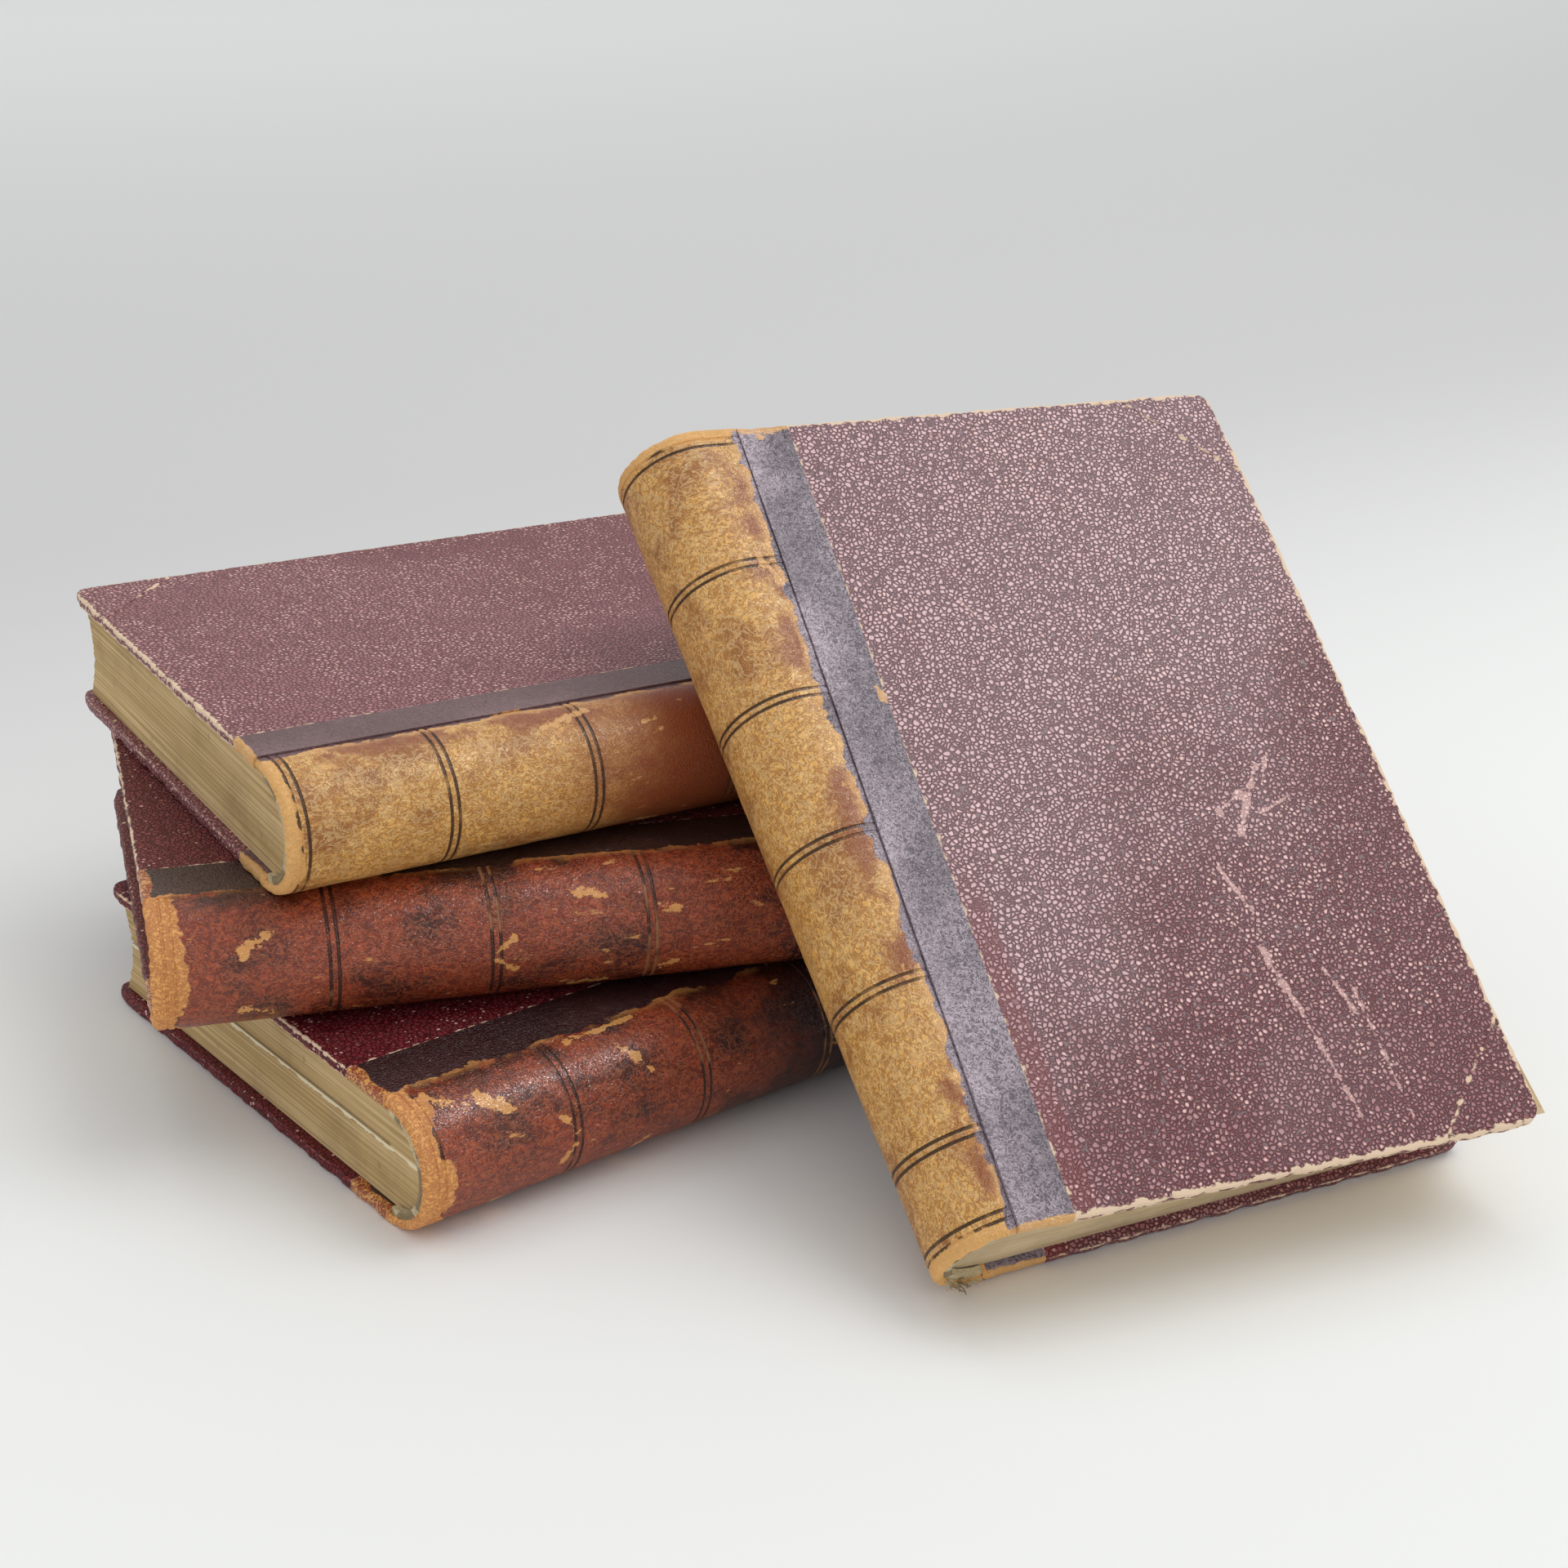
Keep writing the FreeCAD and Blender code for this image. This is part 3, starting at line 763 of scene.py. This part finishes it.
# %% Rings round a cover
outline_step = 1.3 * MM
edge_wear_depth = 0.55 * MM
corner_wear_depth = 0.9 * MM
cloth_step = 0.12 * MM
ring_profile = (
    # how far inside the outline, how deep below the outer face, share of the wear
    (2.8 * MM, 0.0, 0.0),
    (1.6 * MM, 0.0, 0.2),
    (0.7 * MM, 0.06 * MM, 0.6),
    (0.2 * MM, 0.35 * MM, 1.0),
    (0.0, 0.9 * MM, 1.0),
    (0.0, 2.1 * MM, 1.0),
    (0.2 * MM, 2.65 * MM, 1.0),
    (0.7 * MM, 2.94 * MM, 0.6),
    (1.6 * MM, cover_thickness, 0.2),
    (turn_in_width - 0.05 * MM, cover_thickness, 0.0),
    (turn_in_width, cover_thickness - turn_in_thickness, 0.0),
)


def straight(start, end):
    """Points from start to just before end, about one step apart."""
    start, end = np.array(start), np.array(end)
    count = max(2, round(float(np.linalg.norm(end - start)) / outline_step))
    return start + (end - start) * np.arange(count)[:, None] / count


def cover_outline(x_start):
    """Points round the tail, fore-edge and head of a cover, and their inward directions."""
    r = cover_corner_radius
    right, top = cover_width - r, cover_height - r
    turns = np.linspace(0, pi / 2, 9)
    tail = straight((x_start, 0), (right, 0))
    low_corner = np.stack([right + r * np.sin(turns), r - r * np.cos(turns)], 1)
    side = straight((cover_width, r), (cover_width, top))[1:]
    high_corner = np.stack([right + r * np.cos(turns), top + r * np.sin(turns)], 1)
    head = straight((right, cover_height), (x_start, cover_height))[1:]
    points = np.vstack([tail, low_corner, side, high_corner, head, [(x_start, cover_height)]])
    inward = [(0, 1)] * len(tail) + [(-sin(a), cos(a)) for a in turns] + [(-1, 0)] * len(side)
    inward += [(-cos(a), -sin(a)) for a in turns] + [(0, -1)] * (len(head) + 1)
    return points, np.array(inward, float)


def wear_along(points, seed):
    """How deep the edge is worn at each point: a ragged share, more at the corners."""
    depths = []
    for x, y in points:
        rough = noise.fractal(Vector((x, y, seed)) / (5 * MM), 1.0, 2.0, 4)
        to_corner = min(y, cover_height - y) + cover_width - x
        at_corner = max(0.0, 1 - to_corner / (9 * MM))
        depths.append(edge_wear_depth * clamped(0.45 + rough) + corner_wear_depth * at_corner)
    return np.array(depths)


def cover_slab(x_start, outer_drop, seed):
    """A closed cover from x_start to the fore-edge; z counts down from its outer face."""
    points, inward = cover_outline(x_start)
    wear = wear_along(points, seed)
    rings = []
    for inset, depth, share in ring_profile:
        flat = points + inward * (inset + wear * share)[:, None]
        drop = outer_drop if depth < outer_drop else depth
        rings.append(np.column_stack([flat, np.full(len(flat), drop)]))
    corners = np.vstack(rings)
    count = len(points)
    faces = []
    for ring in range(len(rings) - 1):
        for step in range(count - 1):
            first = ring * count + step
            faces.append((first, first + 1, first + count + 1, first + count))
    last = (len(rings) - 1) * count
    faces.append(tuple(range(count)))
    faces.append(tuple(range(last, last + count)))
    tail_ends = [ring * count for ring in range(len(rings))]
    head_ends = [ring * count + count - 1 for ring in reversed(range(len(rings)))]
    faces.append(tuple(tail_ends + head_ends))
    return Shape(corners, faces)


# %% [markdown]
# On the real cover the leather strip and the corners go on first and the cloth is laid
# up to them. Here one slab has the outline and the wear of the whole cover, and a plane
# cuts it: a bisect keeps one side, and filling the cut leaves a closed mesh.


# %% Cut a cover into strip, cloth and corner pieces
def kept_side(shape, point, direction):
    """The part of a closed shape on the side that the direction points to, closed again."""
    mesh = bmesh.new()
    corners = [mesh.verts.new(corner) for corner in shape.corners]
    for face in shape.faces:
        mesh.faces.new([corners[i] for i in face])
    cut = bmesh.ops.bisect_plane(
        mesh,
        geom=mesh.verts[:] + mesh.edges[:] + mesh.faces[:],
        dist=1e-7,
        plane_co=point,
        plane_no=direction,
        clear_inner=True,
    )
    rim = [item for item in cut["geom_cut"] if isinstance(item, bmesh.types.BMEdge)]
    bmesh.ops.edgeloop_fill(mesh, edges=rim)
    mesh.verts.index_update()
    result = Shape([v.co for v in mesh.verts], [[v.index for v in f.verts] for f in mesh.faces])
    mesh.free()
    return result


def corner_plane(end):
    """A point on the seam of the corner piece at the tail or head, and the way out of it."""
    y = corner_leg if end == "tail" else cover_height - corner_leg
    return (cover_width, y, 0), (1, -1 if end == "tail" else 1, 0)


def reversed_of(direction):
    return tuple(-part for part in direction)


def face_out(shape, volume, side):
    """Turns depth below the outer face into z in the volume's own measures."""
    if side == "front":
        shape.corners[:, 2] = thickness_of[volume] - shape.corners[:, 2]
    shape.places = shape.corners.copy()
    return shape


strips = {}
for number, volume in enumerate(volumes):
    for side in ("back", "front"):
        seed = 3.0 * number + (side == "front")
        opens = side == "front" and volume in opening_volumes
        leather_slab = cover_slab(hinge_x if opens else board_start_x, 0.0, seed)
        cloth_slab = cover_slab(board_start_x, cloth_step, seed)
        at_strip = (strip_width, 0, 0)
        strip = kept_side(leather_slab, at_strip, (-1, 0, 0))
        corners = Shape()
        cloth = kept_side(cloth_slab, at_strip, (1, 0, 0))
        for end in ("tail", "head"):
            point, outwards = corner_plane(end)
            corners.join(kept_side(leather_slab, point, outwards))
            cloth = kept_side(cloth, point, reversed_of(outwards))
        matrix = matrices[volume, side]
        body = body_of(volume, side)
        stem = f"{volume}_{side}"
        add_piece(
            stem + "_cloth_worn", face_out(cloth, volume, side), matrix, cloth_of[volume], body,
            (stem + "_cloth", stem + "_board"),
        )
        add_piece(
            stem + "_corners_worn", face_out(corners, volume, side), matrix, cloth_of[volume], body,
            (stem + "_corners",),
        )
        strips[volume, side] = face_out(strip, volume, side)
print("made the cloth and corners of", 2 * len(volumes), "covers")

# %% [markdown]
# The spine leather is one skin bent round the back of the book. Its section across the
# book is a half circle with short flats, and its section along the book is a closed
# loop: along the outside with the tooled grooves, round the cap at each end, and back
# along the inside. Sweeping the loop along the half circle gives the whole shell.

# %% The skin over the spine
arc_steps = 56
row_step = 2.5 * MM
joint_gap = 0.15 * MM
joint_dip = 0.4 * MM
joint_slope = 2.5 * MM
cover_droop = radians(3.8)
cover_ajar = radians(3.6)
cap_round = 1.3 * MM
groove_side = 0.12 * MM
skin_unevenness = 0.14 * MM
cap_raggedness = 0.45 * MM


def round_path(thickness, front_end, dip):
    """Points across the spine, their inward directions and how far along the skin they are.

    The skin ends at front_end, on the flat of the front or a little down the round, and
    dips there, so that an opened cover turns clear of it.
    """
    radius = thickness / 2
    short = max(0.0, spine_centre_x - front_end)
    last = pi - np.arcsin(short / radius)
    angles = np.linspace(0, last, arc_steps + 1)
    points = np.column_stack([spine_centre_x - radius * np.sin(angles), radius - radius * np.cos(angles)])
    inward = np.column_stack([np.sin(angles), np.cos(angles)])
    unrolled = spine_centre_x - radius * np.minimum(angles, pi - angles)
    flat = max(front_end, spine_centre_x + 0.05 * MM) if not short else front_end
    closing = (flat, thickness) if not short else points[-1] + (0.05 * MM, 0.02 * MM)
    points = np.vstack([(board_start_x, 0), points, closing])
    near_joint = np.clip(1 - (closing[0] - points[:, 0]) / joint_slope, 0, 1) * (points[:, 1] > radius)
    points[:, 1] -= dip * near_joint
    inward = np.vstack([(0, 1), inward, inward[-1] if short else (0, -1)])
    unrolled = np.concatenate([[board_start_x], unrolled, [closing[0]]])
    return points, inward, unrolled


def rule_edges():
    """The lower edge of each tooled line, from the tail."""
    middles = [rule_end_inset, cover_height - rule_end_inset]
    middles += [rule_first + rule_spacing * number for number in range(rule_count)]
    lower = [middle - (rule_gap + rule_width) / 2 for middle in middles]
    return sorted(lower + [edge + rule_gap for edge in lower])


def skin_section():
    """The loop along the spine as (depth below the surface, y), and its outer length."""
    rows = {}
    for y in np.arange(cap_round, cover_height - cap_round, row_step):
        rows[round(float(y), 6)] = 0.0
    for lower in rule_edges():
        upper = lower + rule_width
        for taken in [y for y in rows if lower - groove_side < y < upper + groove_side]:
            del rows[taken]
        rows[lower - groove_side / 2] = 0.0
        rows[lower + groove_side] = rule_depth
        rows[upper - groove_side] = rule_depth
        rows[upper + groove_side / 2] = 0.0
    outer = [(rows[y], y) for y in sorted(rows)]
    turns = np.linspace(0, pi / 2, 6)
    cap = [(cap_round * (1 - cos(a)), cap_round * (1 - sin(a))) for a in turns]
    outer = [(d, y) for d, y in reversed(cap)] + outer[1:]
    outer += [(d, cover_height - y) for d, y in cap]
    inner = [
        (cap_thickness, cover_height - 0.5 * MM),
        (cap_thickness, cover_height - page_square),
        (leather_thickness, cover_height - page_square),
        (leather_thickness, page_square),
        (cap_thickness, page_square),
        (cap_thickness, 0.5 * MM),
    ]
    print("a spine's section has", len(outer) + len(inner), "points")
    return outer + inner, len(outer)


section, outer_count = skin_section()


def spine_skin(volume):
    """The shell of leather over one spine; its front edge follows the front cover's hinge."""
    thickness = thickness_of[volume]
    opens = volume in opening_volumes
    front_end = hinge_x - joint_gap if opens else board_start_x
    dip = joint_dip if opens else 0.0
    droop = cover_droop if volume == "leaning" else 0.0
    shifts = [(y - cover_height / 2) * tan(droop) for _, y in section]
    hinge_end = front_end / cos(droop)
    paths = [round_path(thickness, hinge_end + shift, dip) for shift in shifts]
    corners, places = [], []
    for step in range(len(paths[0][0])):
        turned = max(0.0, step / (arc_steps + 1) - 0.5) * 2
        for index, (depth, y) in enumerate(section):
            (x, z), (dx, dz), far = (part[step] for part in paths[index])
            far -= shifts[index] * turned**2
            spot = Vector((far, y, z))
            if index < outer_count:
                uneven = noise.fractal(spot / (9 * MM), 1.0, 2.0, 3)
                depth += skin_unevenness * clamped(0.5 + uneven)
            at_end = max(0.0, 1 - min(y, cover_height - y) / (3 * MM))
            torn = noise.fractal(spot / (3 * MM), 1.0, 2.0, 3)
            ragged = cap_raggedness * at_end * clamped(0.4 + torn)
            y += ragged if y < cover_height / 2 else -ragged
            corners.append((x + dx * depth, y, z + dz * depth))
            places.append((far, y, z))
    loop = len(section)
    faces = []
    for step in range(arc_steps + 2):
        for index in range(loop):
            following = (index + 1) % loop
            first = step * loop
            faces.append((first + index, first + following, first + loop + following, first + loop + index))
    faces.append(tuple(range(loop)))
    faces.append(tuple(range(len(corners) - loop, len(corners))))
    return Shape(corners, faces, places)


for volume in volumes:
    skin = spine_skin(volume).join(strips[volume, "back"])
    if volume in opening_volumes:
        add_piece(
            volume + "_front_leather_worn", strips[volume, "front"], matrices[volume, "front"],
            leather_of[volume], body_of(volume, "front"), (volume + "_front_leather",),
        )
    else:
        skin.join(strips[volume, "front"])
    add_piece(
        volume + "_spine_leather_worn", skin, matrices[volume, "back"],
        leather_of[volume], "stack", (volume + "_spine_leather",),
    )

# %% [markdown]
# A page block is a pile of leaves. Each layer of the mesh is one closed outline: the
# round back, the head, the hollow fore-edge and the tail. A little noise moves each
# layer in or out, so sections and single leaves catch the light along the edges. In the
# leaning volume the upper leaves have slid down a little with the front cover.

# %% The page blocks
layer_step = 0.42 * MM
leaf_unevenness = 0.16 * MM
section_unevenness = 0.22 * MM
page_clearance = 0.1 * MM
fore_edge_square = 3.5 * MM
fore_edge_hollow = 4.0 * MM
lining_thickness = 0.6 * MM
page_step = 4.0 * MM


def page_block(volume, seed):
    """A block of layers from the back cover to the front cover."""
    thickness = thickness_of[volume]
    low = cover_thickness + page_clearance
    high = thickness - low
    end_x = cover_width - fore_edge_square
    ajar, droop = (cover_ajar, cover_droop) if volume == "leaning" else (0.0, 0.0)
    rise_start = hinge_x + cover_height / 2 * tan(cover_droop)
    radius = thickness / 2 - leather_thickness - lining_thickness
    heights = list(np.linspace(0, 1, round((high - low) / layer_step) + 1))
    split_at = (split_height - low) / (high - low)
    if volume == "bottom":
        half = split_width / 2 / (high - low)
        heights = [share for share in heights if abs(share - split_at) > half * 1.3]
        heights = sorted(heights + [split_at - half, split_at, split_at + half])
    tail_y, head_y = page_square, cover_height - page_square
    corners, places = [], []
    for share in heights:
        z = low + share * (high - low)
        back_x = spine_centre_x - sqrt(radius**2 - (z - thickness / 2) ** 2)
        front_x = end_x - fore_edge_hollow * sin(pi * share)
        leaf = leaf_unevenness * noise.noise(Vector((seed, 0.0, share * 61)))
        section_shift = section_unevenness * noise.noise(Vector((seed, 9.0, share * 13)))
        inset = leaf_unevenness + section_unevenness + leaf + section_shift
        front_x -= inset * 0.6
        across = np.linspace(back_x, front_x, round(cover_width / page_step))
        along = np.linspace(tail_y + inset, head_y - inset, round(cover_height / page_step))
        loop = [(x, along[0]) for x in across] + [(front_x, y) for y in along[1:-1]]
        loop += [(x, along[-1]) for x in across[::-1]] + [(back_x, y) for y in along[-2:0:-1]]
        for x, y in loop:
            if volume == "bottom" and share == split_at and y > head_y - 1 * MM:
                opening = clamped((x - split_start_x) / (6 * MM))
                y -= split_depth * opening
            lift = share * max(0.0, x - rise_start) * tan(ajar)
            sag = share**2 * max(0.0, x) * tan(droop)
            corners.append((x, y - sag, z + lift))
            places.append((x, y, z))
    count = len(corners) // len(heights)
    faces = []
    for layer in range(len(heights) - 1):
        for step in range(count):
            following = (step + 1) % count
            first = layer * count
            faces.append((first + step, first + following, first + count + following, first + count + step))
    faces.append(tuple(range(count)))
    faces.append(tuple(range(len(corners) - count, len(corners))))
    return Shape(corners, faces, places)


for number, volume in enumerate(volumes):
    add_piece(
        volume + "_pages", page_block(volume, 2.0 + number), matrices[volume, "back"],
        pages_of[volume], "stack", (volume + "_text_block",),
    )

# %% [markdown]
# Silk thread is wound over a small core at each end of the spine. The core is in the
# frame. The turns repeat along an arc, so Geometry Nodes make them: one ring of thread
# is placed at even steps along the arc and turned to follow it.


# %% The sewn bands
band_thickness = 1.6 * MM
band_depth = 1.8 * MM
thread_radius = 0.24 * MM
thread_pitch = 0.62 * MM


def mesh_from_lines(name, lines, tree, values):
    """A plain mesh from lines in the stack's frame, made by a Geometry Nodes tree."""
    curve = bpy.data.curves.new(name + "_line", "CURVE")
    curve.dimensions = "3D"
    for line in lines:
        spline = curve.splines.new("POLY")
        spline.points.add(len(line) - 1)
        for point, spot in zip(spline.points, line):
            point.co = (*spot, 1)
    drawn = bpy.data.objects.new(name + "_line", curve)
    bpy.context.scene.collection.objects.link(drawn)
    modifier = drawn.modifiers.new("threads", "NODES")
    modifier.node_group = tree
    for item in tree.interface.items_tree:
        if item.in_out == "INPUT" and item.name in values:
            modifier[item.identifier] = values[item.name]
    mesh = bpy.data.meshes.new_from_object(drawn.evaluated_get(bpy.context.evaluated_depsgraph_get()))
    mesh.name = name
    mesh.shade_smooth()
    bpy.data.objects.remove(drawn)
    piece = bpy.data.objects.new(name, mesh)
    bpy.context.scene.collection.objects.link(piece)
    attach(piece, "stack")
    return piece


def thread_tree(name, sizes):
    """A Geometry Nodes tree with inputs for a curve, some sizes and the thread's material."""
    tree = bpy.data.node_groups.new(name, "GeometryNodeTree")
    tree.interface.new_socket("Curve", in_out="INPUT", socket_type="NodeSocketGeometry")
    for label in sizes:
        tree.interface.new_socket(label, in_out="INPUT", socket_type="NodeSocketFloat")
    tree.interface.new_socket("Thread", in_out="INPUT", socket_type="NodeSocketMaterial")
    tree.interface.new_socket("Geometry", in_out="OUTPUT", socket_type="NodeSocketGeometry")
    return tree, tree.nodes.new("NodeGroupInput").outputs, tree.nodes.new, tree.links.new


def end_tree(given, geometry, node, link):
    """Makes the geometry real, gives it the material and ends the tree."""
    real = node("GeometryNodeRealizeInstances")
    link(geometry, real.inputs["Geometry"])
    finish = node("GeometryNodeSetMaterial")
    link(real.outputs["Geometry"], finish.inputs["Geometry"])
    link(given["Thread"], finish.inputs["Material"])
    link(finish.outputs["Geometry"], node("NodeGroupOutput").inputs["Geometry"])


def winding_tree():
    """A Geometry Nodes tree that winds thread along a curve."""
    tree, given, node, link = thread_tree("thread winding", ("Pitch", "Ring radius", "Thread radius"))
    points = node("GeometryNodeCurveToPoints")
    points.mode = "LENGTH"
    link(given["Curve"], points.inputs["Curve"])
    link(given["Pitch"], points.inputs["Length"])
    ring = node("GeometryNodeCurvePrimitiveCircle")
    ring.inputs["Resolution"].default_value = 12
    link(given["Ring radius"], ring.inputs["Radius"])
    strand = node("GeometryNodeCurvePrimitiveCircle")
    strand.inputs["Resolution"].default_value = 6
    link(given["Thread radius"], strand.inputs["Radius"])
    turn = node("GeometryNodeCurveToMesh")
    link(ring.outputs["Curve"], turn.inputs["Curve"])
    link(strand.outputs["Curve"], turn.inputs["Profile Curve"])
    place = node("GeometryNodeInstanceOnPoints")
    link(points.outputs["Points"], place.inputs["Points"])
    link(turn.outputs["Mesh"], place.inputs["Instance"])
    link(points.outputs["Rotation"], place.inputs["Rotation"])
    end_tree(given, place.outputs["Instances"], node, link)
    return tree


winding = winding_tree()


def band_line(volume, y):
    """The line along the round of a spine that the thread is wound on."""
    depth = cap_thickness + band_depth / 2
    radius = thickness_of[volume] / 2 - depth
    reach = acos(min(1.0, (thickness_of[volume] / 2 - cover_thickness - thread_radius) / radius) * 0.96)
    line = []
    for angle in np.linspace(reach, pi - reach, 40):
        spot = (spine_centre_x - radius * sin(angle), y, thickness_of[volume] / 2 - radius * cos(angle))
        line.append(tuple(matrices[volume, "back"] @ Vector(spot)))
    return line


winding_values = {
    "Pitch": thread_pitch,
    "Ring radius": band_thickness / 2,
    "Thread radius": thread_radius,
    "Thread": thread,
}
for volume in volumes:
    middle = page_square - band_thickness / 2
    for end, y in (("tail", middle), ("head", cover_height - middle)):
        band = mesh_from_lines(f"{volume}_{end}_thread", [band_line(volume, y)], winding, winding_values)
print("each band has", len(band.data.polygons), "faces")

# %% [markdown]
# At the foot of the leaning volume the leather has torn and the threads under it hang
# out. A thread follows a path, so each one is a short bent line, and a second small tree
# gives all the lines their thickness.

# %% Frayed threads
fray_radius = 0.15 * MM
fray_steps = 7
fray_count = 30
fray_seed = 4
fray_start_y = 1.2 * MM


def tube_tree():
    """A Geometry Nodes tree that turns lines into round threads."""
    tree, given, node, link = thread_tree("round threads", ("Thread radius",))
    strand = node("GeometryNodeCurvePrimitiveCircle")
    strand.inputs["Resolution"].default_value = 5
    link(given["Thread radius"], strand.inputs["Radius"])
    tube = node("GeometryNodeCurveToMesh")
    tube.inputs["Fill Caps"].default_value = True
    link(given["Curve"], tube.inputs["Curve"])
    link(strand.outputs["Curve"], tube.inputs["Profile Curve"])
    end_tree(given, tube.outputs["Mesh"], node, link)
    return tree


def frayed_lines(volume, count, seed):
    """Bent lines that start inside the tail of the spine and hang out of it."""
    chance = np.random.default_rng(seed)
    radius = thickness_of[volume] / 2 - cap_thickness * 0.6
    lines = []
    for _ in range(count):
        angle = chance.uniform(0.12, 0.85)
        height = thickness_of[volume] / 2 - radius * cos(angle)
        spot = np.array([spine_centre_x - radius * sin(angle), fray_start_y, height])
        heading = np.array([chance.normal(0.5, 0.5), -1.0, chance.normal(0.5, 0.6)])
        length = chance.uniform(2.0, 5.0) * MM / fray_steps
        line = []
        for _ in range(fray_steps):
            line.append(spot.copy())
            spot += heading / np.linalg.norm(heading) * length
            heading += chance.normal(0, 0.45, 3)
        placed = [matrices[volume, "back"] @ Vector(point) for point in line]
        lines.append([(x, y, max(z, 2 * fray_radius)) for x, y, z in placed])
    return lines


fray_lines = frayed_lines("leaning", fray_count, fray_seed)
fray_values = {"Thread radius": fray_radius, "Thread": thread}
frayed = mesh_from_lines("leaning_frayed_threads", fray_lines, tube_tree(), fray_values)
print("the frayed threads have", len(frayed.data.polygons), "faces")

# %% [markdown]
# Endpapers, linings and the cores of the bands are plain sheets and rods on the real book
# too, so the frame's own meshes serve. They only take a finish, which reads the object
# coordinates because these meshes have no place attribute.

# %% Finishes for the pieces that stay as the frame has them
dressed = []
for name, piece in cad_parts.items():
    if name.endswith("pastedown"):
        material = endpaper
    elif name.endswith("lining"):
        material = lining
    elif name.endswith("band"):
        material = thread
    else:
        continue
    piece.data.materials.clear()
    piece.data.materials.append(material)
    dressed.append(name)
print("finished", len(dressed), "pieces of the frame")

# %% [markdown]
# The set is a pale table under soft light. The table's colour gives the pale ground of
# the picture, with a painted falloff of light in it: palest near the stack and to the right,
# darker further back and to the left. The lamps stay at a plain level, so the finishes keep their colours.
# The large lamp gives soft shadows. A smaller one in the same place lights nothing that
# is matt; it only adds the bright line that polished leather shows.

# %% The table and the light
TABLE_NEAR = tint(248, 249, 246)
TABLE_MIDDLE = tint(210, 210, 208)
TABLE_FAR = tint(238, 238, 236)


def pale_table():
    material = bpy.data.materials.new("pale_table")
    material.use_nodes = True
    web = Web(material.node_tree)
    shader = material.node_tree.nodes["Principled BSDF"].inputs
    shader["Roughness"].default_value = 0.6
    shader["Specular IOR Level"].default_value = 0.2
    here = web.add("ShaderNodeTexCoord", output=3)
    ahead = Vector((sin(camera_yaw), cos(camera_yaw), 0))
    leftwards = Vector((-cos(camera_yaw), sin(camera_yaw), 0))
    # Painted falloff of light: palest near the stack and to the right, darker further back and to the left,
    # and pale again far off.
    away = web.vector("DOT_PRODUCT", here, ahead + 0.7 * leftwards, output=1)
    colour = web.mix(web.fade(away, -0.05, 0.6), TABLE_NEAR, TABLE_MIDDLE)
    web.put(shader["Base Color"], web.mix(web.fade(away, 0.8, 3.0), colour, TABLE_FAR))
    return material


lamp_aim = Vector((0, 0, 0.05))
right_lamp_place = (1.0, -0.58, 2.1)
camera_yaw = radians(40.62)
camera_pitch = radians(22.61)
camera_roll = radians(2.11)
camera_lens = 57.26
camera_from_corner = Vector((-0.2361, -0.3958, 0.2966))

bpy.ops.mesh.primitive_plane_add(size=12)
table = bpy.context.object
table.name = "table"
table.data.materials.append(pale_table())


def area_light(name, place, size, power, on_matt=True):
    """A square lamp that faces the stack; one that isn't on_matt only adds shine."""
    lamp = bpy.data.lights.new(name, "AREA")
    lamp.size = size
    lamp.energy = power
    light = bpy.data.objects.new(name, lamp)
    light.visible_diffuse = on_matt
    light.location = place
    light.rotation_euler = (lamp_aim - Vector(place)).to_track_quat("-Z", "Y").to_euler()
    bpy.context.scene.collection.objects.link(light)


area_light("high_behind", (0.8, 1.5, 3.0), 2.2, 10)
area_light("high_right", right_lamp_place, 1.6, 14)
area_light("shine", right_lamp_place, 0.7, 30, on_matt=False)

world = bpy.data.worlds.new("soft_room")
world.use_nodes = True
world.node_tree.nodes["Background"].inputs["Color"].default_value = (0.97, 0.98, 1.0, 1)
world.node_tree.nodes["Background"].inputs["Strength"].default_value = 0.72
bpy.context.scene.world = world
bpy.context.scene.view_settings.view_transform = "Standard"

# %% [markdown]
# The camera stands where the photographer stood, measured from the corner of the bottom
# volume where its spine meets its head, with the same height, tilt and lens.

# %% The camera
corner = matrices["bottom", "back"] @ Vector((0, cover_height, 0))
camera_data = bpy.data.cameras.new("camera")
camera_data.lens = camera_lens
camera_data.sensor_width = 36
camera = bpy.data.objects.new("camera", camera_data)
turned = Matrix.Rotation(-camera_yaw, 4, "Z") @ Matrix.Rotation(pi / 2 - camera_pitch, 4, "X")
stand = Matrix.Translation(corner + camera_from_corner)
camera.matrix_world = stand @ turned @ Matrix.Rotation(camera_roll, 4, "Z")
bpy.context.scene.collection.objects.link(camera)
bpy.context.scene.camera = camera
print("the camera stands at", [round(c, 3) for c in camera.matrix_world.translation], "m")
